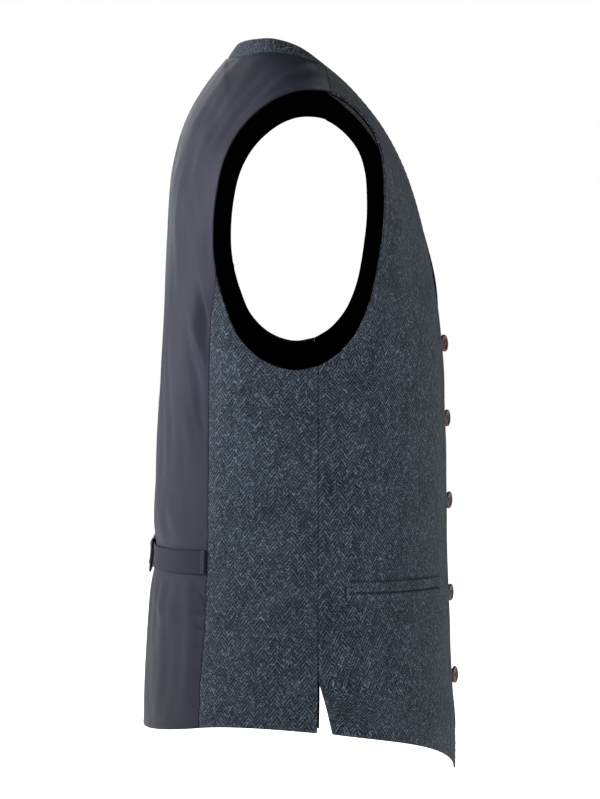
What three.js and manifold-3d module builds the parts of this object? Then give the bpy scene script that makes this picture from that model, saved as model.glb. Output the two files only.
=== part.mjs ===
// A man's five-button suit waistcoat, hollow, in the shape it takes when it is worn.
// Millimetres. +X is the wearer's front, +Y the wearer's left and +Z up. The origin lies midway
// between the shoulder straps, at the height where they bear on the shoulders.
//
// The wearer's right half is worked out from its edges. An edge is a table of places, with the
// heading of the cloth as it crosses the edge: turn is 0 towards the wearer's right, 90 towards the
// back and 180 towards the wearer's left, and dip is degrees downhill. Between two edges the cloth
// runs in rows, each an arc that leaves and meets its edges on those headings. Where an edge ends at
// the shoulder seam its last place lies past the seam and only steers it. The left half is the mirror
// of the right half, and its front laps over the right one.
import * as THREE from "three";
import { mergeVertices } from "three/addons/utils/BufferGeometryUtils.js";
import Module from "manifold-3d";

const wasm = await Module();
wasm.setup();

// Cloth thicknesses and the clearances between pieces.
const TWEED = 1.8;
const SATIN = 1.2;
const LINING = 1.0;
const LINING_DEPTH = 3; // from the outside of the cloth to the outside of the lining
const LINING_INSET = 4; // how far the lining stays inside the garment's free edges
const SEAM_GAP = 0.36;
const LAY_GAP = 0.3; // between a piece and the cloth it lies on

// The closure.
const LAP = 14; // each front runs this far past the centre line
const LAP_LIFT = TWEED + 1.0; // from the outside of the right front to the outside of the left one
const LAP_EASE = 45; // the width over which the fronts part to that
// Beside the closure each front swells a little, and the buttons hold it in along a hollow, whose
// cloth slopes under them.
const SWELL = { height: 3.2, y: 31, halfWidth: 15 };
const HOLLOW = { depth: 2.4, y: -14, halfWidth: 16, slope: 6 };
const BUTTON = {
  radius: 7.5,
  rim: 2.5,
  edge: 1.0, // how far the rim is chamfered
  dish: 5.0,
  dishDepth: 0.9,
  hole: 0.85,
  pitch: 1.6,
  shank: 2.7,
  y: -7.5,
  clear: 0.8, // from the cloth to the lowest point of the disc
  seat: 0.7, // from the cloth to the lowest point of the shank
};
// Each button's height, and how far it leans on its thread towards the wearer's right, in degrees.
const BUTTON_ROW = [
  { z: -226, lean: 23 },
  { z: -291, lean: 20 },
  { z: -363, lean: 21 },
  { z: -445, lean: 18 },
  { z: -519, lean: 19 },
];

// The waist pockets: two jets each, along a line that falls towards the front and falls faster there.
const POCKET = {
  backX: 35.5,
  frontX: 116.5,
  backZ: -411.5,
  fall: 8,
  bow: 6,
  upper: 8.6,
  lower: 6.8,
  slit: 1.0,
  thick: 1.1,
};

// The cinch strap across the back and its slide buckle.
const STRAP = { width: 19.5, thick: 1.4, lie: 0.7, seamInset: 1, seamZ: -391.5, centreZ: -411 };
const STRAP_SHARES = [0, 0.12, 0.24, 0.36, 0.48, 0.58, 0.68, 0.77, 0.84, 0.9, 0.935, 0.96, 0.98, 1];
const STRAP_END = 0.945; // the right half ends before this share
const STRAP_TAIL = [0.955, 0.978]; // the left half's tail, past the middle bar
const STRAP_PINCH = { depth: 3.2, halfWidth: 21 };
const BUCKLE = { across: 31, high: 29.5, bar: 3, thick: 1.8, lift: 3.3 };

// Where a half strap passes over the buckle's middle bar: it is highest near the bar, from the first
// distance from the centre back to the second.
const OVER_BAR = [2.5, 11.5];

const row = (x, y, z, turn, dip = 0) => ({ x, y, z, turn, dip });

// The right front's edge: the point below the last button, the centre front, and the V neckline.
const FRONT_EDGE = [
  row(137.6, -27, -597.5, 9, -29),
  row(138.6, -14, -575, 4, -25),
  row(135.6, 5, -547, -1, -19),
  row(132.7, LAP, -521, -3, -13),
  row(129.1, LAP, -450, -3, -4),
  row(127.0, LAP, -390, -3),
  row(125.8, LAP, -330, -3),
  row(123.9, LAP, -280, -3),
  row(122.3, LAP, -240, -3),
  row(119.8, LAP, -213, -3),
  row(118.8, 5, -190, 0),
  row(115.8, -5, -166, 3),
  row(110.7, -14, -143, 6),
  row(106.7, -20, -128, 6),
  row(97.0, -32, -98, 6),
  row(84.6, -44, -70, 4),
  row(68.0, -55, -43, 1, 2),
  row(50.4, -63.5, -21, 0, 6),
  row(35.4, -69.3, -6, -1, 11),
  row(20.0, -74.3, 6.3, -2.7, 18.7),
  row(0.0, -76.5, 20.5, -8, 22),
];
const V_BREAK = 9;
const FRONT_EDGE_TOP = FRONT_EDGE.length - 2;

// The front's side: the slanted vent, the side seam, and the armhole up to the shoulder.
const FRONT_SIDE = [
  row(25.5, -177.5, -523, 86, -9),
  row(20.0, -177.3, -500, 87, -7),
  row(14.3, -176.3, -480, 88, -5),
  row(14.0, -173.0, -440, 88, -2),
  row(14.0, -171.5, -400, 88),
  row(14.0, -172.0, -330, 88),
  row(14.0, -174.5, -280, 88),
  row(14.0, -177.0, -232.5, 88),
  row(27.0, -176.0, -225, 78),
  row(42.0, -173.5, -209, 67),
  row(54.5, -169.5, -182, 55),
  row(61.0, -166.5, -154, 43),
  row(65.0, -164.5, -127, 33),
  row(66.0, -163.5, -99, 25),
  row(64.0, -162.5, -72, 18, 4),
  row(58.0, -161.5, -53, 11, 8),
  row(44.0, -160.0, -35, 6, 13),
  row(24.0, -158.0, -22, -2.7, 18.7),
  row(4.0, -157.5, -19.5, -8, 22),
];
const VENT_TOP = 2;
const ARMHOLE_FOOT = 7;
const FRONT_SIDE_TOP = FRONT_SIDE.length - 2;

// The tweed side body: its side seam, its seam to the back, and the armhole between their tops.
const SIDE_SEAM = [
  row(13.5, -178.0, -522, 88, -6),
  row(14.0, -177.3, -500, 88),
  row(14.0, -176.3, -480, 88),
  row(14.0, -173.0, -440, 88),
  row(14.0, -171.5, -400, 88),
  row(14.0, -172.0, -330, 88),
  row(14.0, -174.5, -280, 88),
  row(14.0, -177.0, -232.5, 88),
];
const SIDE_ARMHOLE = [
  row(14.0, -177.0, -232.5, 88),
  row(-4.0, -177.5, -235.5, 93),
  row(-28.5, -176.5, -228, 101),
  row(-48.5, -174.5, -208.5, 111),
  row(-59.3, -171.5, -183, 121),
  row(-65.0, -169.3, -163, 133),
];
const BACK_SEAM = [
  row(-81.5, -147.0, -526.8, 132, 14),
  row(-80.5, -147.5, -495, 132, 9),
  row(-77.5, -146.0, -455, 132, 3),
  row(-74.5, -145.0, -400, 132),
  row(-73.0, -146.0, -340, 132),
  row(-72.0, -150.0, -272, 132),
  row(-71.0, -155.5, -232.5, 132),
  row(-69.0, -162.8, -197, 132),
  row(-65.0, -169.3, -163, 133),
];

// The back's side: its seam to the side body, then the armhole up and over to the shoulder seam.
const BACK_SIDE = [
  ...BACK_SEAM,
  row(-66.9, -168.3, -145, 138, -5),
  row(-67.2, -167.5, -127, 143, -9),
  row(-64.5, -166.5, -99, 150, -14),
  row(-58.0, -165.0, -72, 157, -19),
  row(-48.0, -163.0, -53, 164, -22),
  row(-31.0, -160.5, -35, 170, -24),
  row(-16.0, -158.5, -25.5, 166, -24),
  row(0.0, -157.5, -20.5, 163, -24),
  row(12.0, -157.3, -20, 171, -21),
  row(24.0, -158.0, -22, 177.3, -18.7),
  row(44.0, -160.0, -35, 177, -16),
];
const BACK_SEAM_TOP = 8;
const BACK_CORNER_SIDE = 13;
const BACK_SIDE_TOP = BACK_SIDE.length - 2;

// The centre back up to the neck band, then the band's seam round to the shoulder seam.
const CENTRE_BACK = [
  row(-138.5, 0, -562.5, 180, 9),
  row(-137.5, 0, -526, 180, 6),
  row(-135.0, 0, -490, 180),
  row(-131.2, 0, -436, 180),
  row(-128.3, 0, -400, 180),
  row(-126.6, 0, -355, 180),
  row(-124.0, 0, -310, 180),
  row(-121.0, 0, -262, 180),
  row(-118.0, 0, -215, 180),
  row(-115.0, 0, -165, 180),
  row(-113.0, 0, -127, 180),
  row(-110.5, 0, -96, 180),
  row(-107.0, 0, -68, 180),
  row(-101.5, 0, -45, 180),
  row(-92.0, 0, -23, 180),
  row(-82.0, 0, -8, 180),
  row(-72.0, 0, 5, 180),
  row(-62.5, 0, 17, 180),
  row(-58.0, -33, 15, 172, -9),
  row(-45.0, -64, 13.8, 162, -17),
  row(-25.0, -81, 15.5, 162, -22),
  row(-2.0, -86, 12, 169, -21),
  row(20.5, -84.6, 2.8, 177.3, -18.7),
  row(36.0, -81.5, -9, 177, -12),
];
const CENTRE_BACK_LEVEL = 9;
const CENTRE_BACK_NECK = 17;
const CENTRE_BACK_TOP = CENTRE_BACK.length - 2;

// The free edge of the neck band, from the centre back to the shoulder seam.
const NECK_EDGE = [
  row(-55.0, 0, 28, 180),
  row(-50.5, -28, 28.8, 172),
  row(-37.5, -55, 29, 162),
  row(-20.0, -71.5, 27.5, 162),
  row(0.0, -76.5, 20.5, 168),
  row(20.0, -74.3, 6.3, 177.3),
];

// Soft ridges that the worn cloth throws up, as seen from the side: where each starts and ends, its
// half width and its height. The left half has the same ones, a little lower.
const ridge = (x0, z0, x1, z1, halfWidth, height) => ({ x0, z0, x1, z1, halfWidth, height });
const BACK_RIDGES = [
  ridge(-100, -70, -99, -150, 8, 2.2),
  ridge(-81, -95, -82, -160, 7, 2.4),
  ridge(-87, -160, -78, -232, 8, 3.0),
  ridge(-101, -205, -90, -300, 9, 2.4),
  ridge(-118, -350, -95, -368, 11, 1.6),
  ridge(-121, -448, -100, -436, 12, 1.8),
];
const FRONT_RIDGES = [ridge(72, -95, 82, -165, 9, 1.8)];
const LEFT_RIDGE_SHARE = 0.8;

const rad = THREE.MathUtils.degToRad;
const COLUMNS = ["x", "y", "z", "turn", "dip"];

// A smooth edge through a table's rows. stops are the rows at which it is paired with another edge,
// and corners are the rows where it turns sharply.
class Edge {
  constructor(rows, stops, corners = []) {
    this.rows = rows;
    this.stops = stops;
    this.corners = corners;
    this.length = [0];
    for (let i = 1; i < rows.length; i++) {
      const [a, b] = [rows[i - 1], rows[i]];
      this.length.push(this.length[i - 1] + Math.hypot(b.x - a.x, b.y - a.y, b.z - a.z));
    }
  }

  slope(column, i, ahead) {
    const { rows, length } = this;
    const between = (a, b) => (rows[b][column] - rows[a][column]) / (length[b] - length[a]);
    const last = rows.length - 1;
    if (i === 0 || (this.corners.includes(i) && ahead)) return between(i, i + 1);
    if (i === last || this.corners.includes(i)) return between(i - 1, i);
    const [before, after] = [length[i] - length[i - 1], length[i + 1] - length[i]];
    return (between(i - 1, i) * after + between(i, i + 1) * before) / (before + after);
  }

  // The edge's values at a share of the way from one stop to the next.
  at(span, share) {
    const [from, to] = [this.stops[span], this.stops[span + 1]];
    const along = THREE.MathUtils.lerp(this.length[from], this.length[to], share);
    let i = from;
    while (i < to - 1 && this.length[i + 1] < along) i++;
    const reach = this.length[i + 1] - this.length[i];
    const u = (along - this.length[i]) / reach;
    const value = {};
    for (const column of COLUMNS) {
      const [a, b] = [this.rows[i][column], this.rows[i + 1][column]];
      const leave = this.slope(column, i, true) * reach;
      const meet = this.slope(column, i + 1, false) * reach;
      value[column] =
        a * (1 + 2 * u) * (1 - u) ** 2 +
        leave * u * (1 - u) ** 2 +
        b * u * u * (3 - 2 * u) -
        meet * u * u * (1 - u);
    }
    return value;
  }
}

const heading = ({ turn, dip }) =>
  new THREE.Vector3(
    -Math.sin(rad(turn)) * Math.cos(rad(dip)),
    -Math.cos(rad(turn)) * Math.cos(rad(dip)),
    -Math.sin(rad(dip)),
  );

// The arc from one edge place to another, a share of the way along.
function arcPoint(from, to, share) {
  const [a, b] = [new THREE.Vector3(from.x, from.y, from.z), new THREE.Vector3(to.x, to.y, to.z)];
  const [leave, meet] = [heading(from), heading(to)];
  const chord = b.clone().sub(a);
  const bend = leave.angleTo(meet);
  const even = chord.length() / (3 * Math.cos(bend / 4) ** 2);
  const cross = leave.x * meet.y - leave.y * meet.x;
  const sure = THREE.MathUtils.smoothstep(Math.abs(cross), 0.2, 0.5);
  const safe = Math.abs(cross) < 0.2 ? 1 : cross;
  const pull = (2 * Math.cos(bend / 2)) / (3 * Math.cos(bend / 4) ** 2);
  const start = (pull * (chord.x * meet.y - chord.y * meet.x)) / safe;
  const end = (pull * (leave.x * chord.y - leave.y * chord.x)) / safe;
  const first = THREE.MathUtils.lerp(even, start, sure);
  const second = THREE.MathUtils.lerp(even, end, sure);
  const curve = new THREE.CubicBezierCurve3(
    a,
    a.clone().addScaledVector(leave, first),
    b.clone().addScaledVector(meet, -second),
    b,
  );
  return curve.getPoint(share);
}

// How fast a crowned panel is drawn to its crown towards its top.
const CROWN_POWER = 6;

// Halvings in a search for the spot at a wanted height or distance.
const HALVINGS = 24;

// A place on the cloth: where it is, which way is out, which way is across, and its shares of the
// way across and up its panel.
class Spot {
  constructor(place, out, across, share, rise) {
    this.place = place;
    this.out = out;
    this.across = across;
    this.share = share;
    this.rise = rise;
  }

  // The spot on the cloth's other side or away from it, by a distance out of the garment.
  moved(by) {
    return this.place.clone().addScaledVector(this.out, by);
  }

  mirrored() {
    const flip = (v) => new THREE.Vector3(v.x, -v.y, v.z);
    return new Spot(flip(this.place), flip(this.out), flip(this.across).negate(), this.share, this.rise);
  }
}

// A panel of cloth between two edges. across runs from 0 to 1 in the direction of the headings, and
// each span between stops upwards. A panel with a crown is drawn to that edge at its top.
class Panel {
  constructor(from, to, spanRows, crown = null) {
    this.from = from;
    this.to = to;
    this.spanRows = spanRows;
    this.crown = crown;
  }

  point(across, span, share) {
    const place = arcPoint(this.from.at(span, share), this.to.at(span, share), across);
    if (!this.crown) return place;
    const { x, y, z } = this.crown.at(0, across);
    const reached = arcPoint(this.from.at(span, 1), this.to.at(span, 1), across);
    return place.addScaledVector(new THREE.Vector3(x, y, z).sub(reached), share ** CROWN_POWER);
  }

  spot(across, span, share) {
    const step = 1e-3;
    const clamp = (v) => THREE.MathUtils.clamp(v, 0, 1);
    const slope = (a, b, c, d) => this.point(c, span, d).sub(this.point(a, span, b)).normalize();
    let round = slope(clamp(across - step), share, clamp(across + step), share);
    if (across === 0) round = heading(this.from.at(span, share));
    if (across === 1) round = heading(this.to.at(span, share));
    const up = slope(across, clamp(share - step), across, clamp(share + step));
    const out = up.cross(round).normalize();
    return new Spot(this.point(across, span, share), out, round, across, span + share);
  }

  // A grid of spots, rows first, from a share of the way across to the far edge. A crowding over 1
  // puts more of its columns at the start.
  grid(columns, spanRows = this.spanRows, first = 0, crowding = 1) {
    const rows = [];
    spanRows.forEach((count, span) => {
      for (let j = span ? 1 : 0; j <= count; j++) {
        const share = (i) => THREE.MathUtils.lerp(first, 1, (i / columns) ** crowding);
        const places = Array.from({ length: columns + 1 }, (_, i) => this.spot(share(i), span, j / count));
        rows.push(places);
      }
    });
    return rows;
  }

  // The spot where a column of the first span reaches a height.
  atHeight(across, z) {
    let [low, high] = [0, 1];
    for (let i = 0; i < HALVINGS; i++) {
      const mid = (low + high) / 2;
      if (this.point(across, 0, mid).z < z) low = mid;
      else high = mid;
    }
    return this.spot(across, 0, low);
  }

  // The share across at which the panel falls to a distance, x or y, at a height.
  shareWhere(axis, value, z) {
    let [low, high] = [0, 1];
    for (let i = 0; i < HALVINGS; i++) {
      const mid = (low + high) / 2;
      if (this.atHeight(mid, z).place[axis] > value) low = mid;
      else high = mid;
    }
    return low;
  }
}

// Draws a grid's borders in: its first and last columns across the cloth, and its first and last rows
// towards the rows beside them.
function inset(grid, start, end, bottom, top) {
  const shifted = (s, way, by) => {
    const place = s.place.clone().addScaledVector(way, by);
    return new Spot(place, s.out, s.across, s.share, s.rise);
  };
  const towards = (s, next, by) => shifted(s, next.place.clone().sub(s.place).normalize(), by);
  const drawn = (spots, beside, by) => spots.map((s, i) => towards(s, beside[i], by));
  const made = grid.map((spots) => {
    const copy = [...spots];
    copy[0] = shifted(spots[0], spots[0].across, start);
    const last = spots.length - 1;
    copy[last] = shifted(spots[last], spots[last].across, -end);
    return copy;
  });
  const last = made.length - 1;
  if (bottom) made[0] = drawn(made[0], made[1], bottom);
  if (top) made[last] = drawn(made[last], made[last - 1], top);
  return made;
}

const mirrored = (grid) => grid.map((spots) => spots.map((s) => s.mirrored()).reverse());

// A closed wall of cloth over a grid of spots. outer and inner are distances out of the garment,
// each a number or a function of the spot.
function wall(grid, outer, inner) {
  const amount = (value) => (typeof value === "function" ? value : () => value);
  const skin = (by) => grid.map((spots) => spots.map((s) => s.moved(amount(by)(s))));
  const skins = [skin(outer), skin(inner)];
  const [rows, columns] = [grid.length, grid[0].length];
  const positions = skins.flat(2).flatMap((p) => [p.x, p.y, p.z]);
  const at = (skin, j, i) => (skin * rows + j) * columns + i;
  const index = [];
  const quad = (a, b, c, d) => index.push(a, b, c, a, c, d);
  for (let j = 0; j < rows - 1; j++) {
    for (let i = 0; i < columns - 1; i++) {
      quad(at(0, j, i), at(0, j + 1, i), at(0, j + 1, i + 1), at(0, j, i + 1));
      quad(at(1, j, i), at(1, j, i + 1), at(1, j + 1, i + 1), at(1, j + 1, i));
    }
  }
  for (let i = 0; i < columns - 1; i++) {
    quad(at(0, 0, i), at(0, 0, i + 1), at(1, 0, i + 1), at(1, 0, i));
    quad(at(0, rows - 1, i), at(1, rows - 1, i), at(1, rows - 1, i + 1), at(0, rows - 1, i + 1));
  }
  for (let j = 0; j < rows - 1; j++) {
    quad(at(0, j, 0), at(1, j, 0), at(1, j + 1, 0), at(0, j + 1, 0));
    quad(at(0, j, columns - 1), at(0, j + 1, columns - 1), at(1, j + 1, columns - 1), at(1, j, columns - 1));
  }
  const geometry = new THREE.BufferGeometry();
  geometry.setAttribute("position", new THREE.Float32BufferAttribute(positions, 3));
  geometry.setIndex(index);
  return geometry;
}

// How far the ridges in a table lift the cloth at a spot, seen from the side. They die away at seams.
function ridgeHeight(ridges, { place: p, share }) {
  let height = 0;
  for (const { x0, z0, x1, z1, halfWidth, height: peak } of ridges) {
    const [dx, dz] = [x1 - x0, z1 - z0];
    const along = ((p.x - x0) * dx + (p.z - z0) * dz) / (dx * dx + dz * dz);
    const off = Math.hypot(p.x - x0 - along * dx, p.z - z0 - along * dz) / halfWidth;
    const begun = THREE.MathUtils.smoothstep(along, -0.15, 0.4);
    const ended = THREE.MathUtils.smoothstep(along, 0.6, 1.15);
    height += peak * Math.exp(-off * off) * begun * (1 - ended);
  }
  const fromSeam = Math.min(share, 1 - share);
  return height * THREE.MathUtils.smoothstep(fromSeam, 0, 0.12);
}

// How far the strap draws the back in at a spot, most at the middle.
function pinchDepth({ place, share }) {
  const strapZ = THREE.MathUtils.lerp(STRAP.seamZ, STRAP.centreZ, share);
  const off = (place.z - strapZ) / STRAP_PINCH.halfWidth;
  return STRAP_PINCH.depth * Math.exp(-off * off) * THREE.MathUtils.smoothstep(share, 0, 0.6);
}

const materials = {
  tweed: new THREE.MeshStandardMaterial({ color: 0x37404b, roughness: 0.95, metalness: 0 }),
  satin: new THREE.MeshStandardMaterial({ color: 0x4b4d5a, roughness: 0.42, metalness: 0 }),
  lining: new THREE.MeshStandardMaterial({ color: 0x08080a, roughness: 0.6, metalness: 0 }),
  button: new THREE.MeshStandardMaterial({ color: 0x4a2d2b, roughness: 0.35, metalness: 0 }),
  buckle: new THREE.MeshStandardMaterial({ color: 0x2b2b2f, roughness: 0.35, metalness: 1 }),
};

// A closed geometry as a solid that can be joined and cut.
function solidOf(geometry) {
  const bare = new THREE.BufferGeometry();
  bare.setAttribute("position", geometry.getAttribute("position"));
  const merged = mergeVertices(bare.setIndex(geometry.index), 1e-4);
  const vertProperties = merged.attributes.position.array;
  const triVerts = new Uint32Array(merged.index.array);
  return new wasm.Manifold(new wasm.Mesh({ numProp: 3, vertProperties, triVerts }));
}

// A post along Z between two heights.
function post(radius, low, high, sides) {
  const shape = new THREE.CylinderGeometry(radius, radius, high - low, sides).rotateX(Math.PI / 2);
  return shape.translate(0, 0, (low + high) / 2);
}

// A cut solid as geometry.
function geometryOf(solid) {
  const { vertProperties, triVerts } = solid.getMesh();
  const geometry = new THREE.BufferGeometry();
  geometry.setAttribute("position", new THREE.BufferAttribute(vertProperties, 3));
  geometry.setIndex(new THREE.BufferAttribute(triVerts, 1));
  return geometry;
}

const waistcoat = new THREE.Group();
function add(name, geometry, material) {
  const mesh = new THREE.Mesh(geometry, material);
  mesh.name = name;
  waistcoat.add(mesh);
  return mesh;
}

const front = new Panel(
  new Edge(FRONT_EDGE, [0, V_BREAK, FRONT_EDGE_TOP], [V_BREAK]),
  new Edge(FRONT_SIDE, [0, ARMHOLE_FOOT, FRONT_SIDE_TOP], [VENT_TOP, ARMHOLE_FOOT]),
  [16, 15],
);
const sideBody = new Panel(
  new Edge(SIDE_SEAM, [0, SIDE_SEAM.length - 1]),
  new Edge(BACK_SIDE, [0, BACK_SEAM_TOP]),
  [26],
  new Edge(SIDE_ARMHOLE, [0, SIDE_ARMHOLE.length - 1]),
);
const back = new Panel(
  new Edge(BACK_SIDE, [0, BACK_SEAM_TOP, BACK_CORNER_SIDE, BACK_SIDE_TOP]),
  new Edge(CENTRE_BACK, [0, CENTRE_BACK_LEVEL, CENTRE_BACK_NECK, CENTRE_BACK_TOP], [CENTRE_BACK_NECK]),
  [26, 8, 8],
);
const half = SEAM_GAP / 2;

// Each panel's outside, right half: smooth, with its borders pulled in at its seams.
const FRONT_COLUMNS = 13;
const FRONT_CROWDING = 1.3;
const SIDE_COLUMNS = 8;
const BACK_COLUMNS = 11;
const frontGrid = inset(front.grid(FRONT_COLUMNS, front.spanRows, 0, FRONT_CROWDING), 0, half, 0, half);
const sideGrid = inset(sideBody.grid(SIDE_COLUMNS), half, half, 0, 0);
const backGrid = inset(back.grid(BACK_COLUMNS), half, half, 0, half);

// The fronts part towards the closure, where the left one lies over the right one.
const LAP_FLAT = LAP + 2;
const lapShare = ({ place: { y } }) =>
  1 - THREE.MathUtils.smoothstep(Math.abs(y), LAP_FLAT, LAP_FLAT + LAP_EASE);
const plus = (rise, by) => (spot) => rise(spot) + by;

// The heights where the swell and the hollow begin, are whole from and to, and end.
const CLOSURE = [-555, -495, -225, -160];

// How far a front swells beside the closure, or sinks in its hollow.
function swellHeight({ place: { y, z } }) {
  const bell = (off) => Math.exp(-off * off);
  const swell = SWELL.height * bell((Math.abs(y) - SWELL.y) / SWELL.halfWidth);
  const hollow = HOLLOW.depth * bell((y - HOLLOW.y) / HOLLOW.halfWidth);
  const [begin, whole, wane, end] = CLOSURE;
  const there = THREE.MathUtils.smoothstep(z, begin, whole) * (1 - THREE.MathUtils.smoothstep(z, wane, end));
  return (swell - hollow) * there;
}
const frontRise = {
  right: (spot) => ridgeHeight(FRONT_RIDGES, spot) + swellHeight(spot) - (LAP_LIFT / 2) * lapShare(spot),
  left: (spot) =>
    LEFT_RIDGE_SHARE * ridgeHeight(FRONT_RIDGES, spot) + swellHeight(spot) + (LAP_LIFT / 2) * lapShare(spot),
};
const backRise = {
  right: (spot) => ridgeHeight(BACK_RIDGES, spot) - pinchDepth(spot),
  left: (spot) => LEFT_RIDGE_SHARE * ridgeHeight(BACK_RIDGES, spot) - pinchDepth(spot),
};
const SIDES = [
  ["right", (grid) => grid],
  ["left", mirrored],
];

for (const [side, turned] of SIDES) {
  const [chest, rear] = [frontRise[side], backRise[side]];
  add("front_" + side, wall(turned(frontGrid), chest, plus(chest, -TWEED)), materials.tweed);
  add("side_body_" + side, wall(turned(sideGrid), 0, -TWEED), materials.tweed);
  add("back_" + side, wall(turned(backGrid), rear, plus(rear, -SATIN)), materials.satin);
}

// The lining, a smooth skin inside each panel, which the strap draws in with the back. In the fronts
// it starts well inside the front edge.
const LINED = [
  {
    name: "front",
    grid: inset(front.grid(8, [10, 12], 0.2), 0, half, LINING_INSET, half),
    drawnIn: () => 0,
  },
  {
    name: "side_body",
    grid: inset(sideBody.grid(6, [14]), half, half, LINING_INSET, LINING_INSET),
    drawnIn: () => 0,
  },
  {
    name: "back",
    grid: inset(back.grid(8, [14, 8, 8]), half, half, LINING_INSET, half),
    drawnIn: pinchDepth,
  },
];
for (const { name, grid, drawnIn } of LINED) {
  const outside = (spot) => -LINING_DEPTH - drawnIn(spot);
  for (const [side, turned] of SIDES) {
    const skin = wall(turned(grid), outside, plus(outside, -LINING));
    add("lining_" + name + "_" + side, skin, materials.lining);
  }
}

// The neck band, a strip of tweed round the back of the neck from shoulder seam to shoulder seam.
{
  const seam = new Edge(CENTRE_BACK.slice(CENTRE_BACK_NECK), [0, CENTRE_BACK_TOP - CENTRE_BACK_NECK]);
  const edge = new Edge(NECK_EDGE, [0, NECK_EDGE.length - 1]);
  const steps = 8;
  const at = (line, i) => {
    const { x, y, z } = line.at(0, i / steps);
    return new THREE.Vector3(x, y, z);
  };
  const rightHalf = [seam, edge].map((line, j) =>
    Array.from({ length: steps + 1 }, (_, k) => {
      const i = steps - k;
      const around = i ? at(line, i - 1).sub(at(line, i)) : new THREE.Vector3(0, 1, 0);
      const up = at(edge, i).sub(at(seam, i));
      around.normalize();
      return new Spot(at(line, i), up.cross(around).normalize(), around, i / steps, j);
    }),
  );
  const strip = rightHalf.map((spots, j) => [...spots, ...mirrored(rightHalf)[j].slice(1)]);
  add("neck_band", wall(inset(strip, half, half, SEAM_GAP, 0), 0, -TWEED), materials.tweed);
}

// The pocket jets, each a strip of the front's own spots moved out.
{
  const steps = 10;
  const { backX, frontX, backZ, fall, bow, upper, lower, slit, thick } = POCKET;
  const frontShare = front.shareWhere("x", frontX, backZ - fall - bow);
  const backShare = front.shareWhere("x", backX, backZ);
  const line = (rise) =>
    Array.from({ length: steps + 1 }, (_, i) => {
      const along = 1 - i / steps;
      const z = backZ - fall * along - bow * along * along + rise;
      return front.atHeight(THREE.MathUtils.lerp(backShare, frontShare, along), z);
    });
  for (const [name, low, high] of [
    ["upper", slit / 2, slit / 2 + upper],
    ["lower", -slit / 2 - lower, -slit / 2],
  ]) {
    const strip = [line(low), line((low + high) / 2), line(high)];
    for (const [side, turned] of SIDES) {
      const lie = plus(frontRise[side], LAY_GAP);
      add("pocket_jet_" + name + "_" + side, wall(turned(strip), plus(lie, thick), lie), materials.tweed);
    }
  }
}

// The cinch strap, in two halves that meet in the buckle. The left half passes over its middle bar.
{
  const overBar = ({ place: { y } }) => {
    const near = 1 - THREE.MathUtils.smoothstep(Math.abs(y), ...OVER_BAR);
    return near * (BUCKLE.lift + BUCKLE.thick + LAY_GAP - STRAP.lie);
  };
  const strip = (shares) =>
    [-STRAP.width / 2, 0, STRAP.width / 2].map((rise) =>
      shares.map((across) => {
        const z = THREE.MathUtils.lerp(STRAP.seamZ, STRAP.centreZ, across) + rise;
        return back.atHeight(across, z);
      }),
    );
  const tail = strip(STRAP_TAIL);
  const rightShares = STRAP_SHARES.filter((share) => share < STRAP_END);
  const [rightHalf, other] = [rightShares, STRAP_SHARES].map((shares) =>
    inset(strip(shares), STRAP.seamInset, 0, 0, 0),
  );
  const leftHalf = mirrored(other).map((spots, j) => [...tail[j], ...spots]);
  const rightLie = plus(backRise.right, STRAP.lie);
  const leftLie = (spot) => backRise.left(spot) + STRAP.lie + overBar(spot);
  add("strap_right", wall(rightHalf, plus(rightLie, STRAP.thick), rightLie), materials.satin);
  add("strap_left", wall(leftHalf, plus(leftLie, STRAP.thick), leftLie), materials.satin);

  const { across, high, bar, thick, lift } = BUCKLE;
  const block = (wide, tall, deep, y) =>
    solidOf(new THREE.BoxGeometry(wide, tall, deep).translate(y, 0, thick / 2));
  const window = across / 2 - 1.5 * bar;
  const openings = [-1, 1].map((way) => block(window, high - 2 * bar, 3 * thick, (way * (bar + window)) / 2));
  const frame = geometryOf(openings.reduce((made, one) => made.subtract(one), block(across, high, thick, 0)));
  const middle = back.atHeight(1, STRAP.centreZ);
  const up = new THREE.Vector3(0, 0, 1).addScaledVector(middle.out, -middle.out.z).normalize();
  const basis = new THREE.Matrix4().makeBasis(up.clone().cross(middle.out), up, middle.out);
  frame.applyMatrix4(basis.setPosition(middle.moved(backRise.right(middle) + lift)));
  add("buckle", frame, materials.buckle);
}

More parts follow.
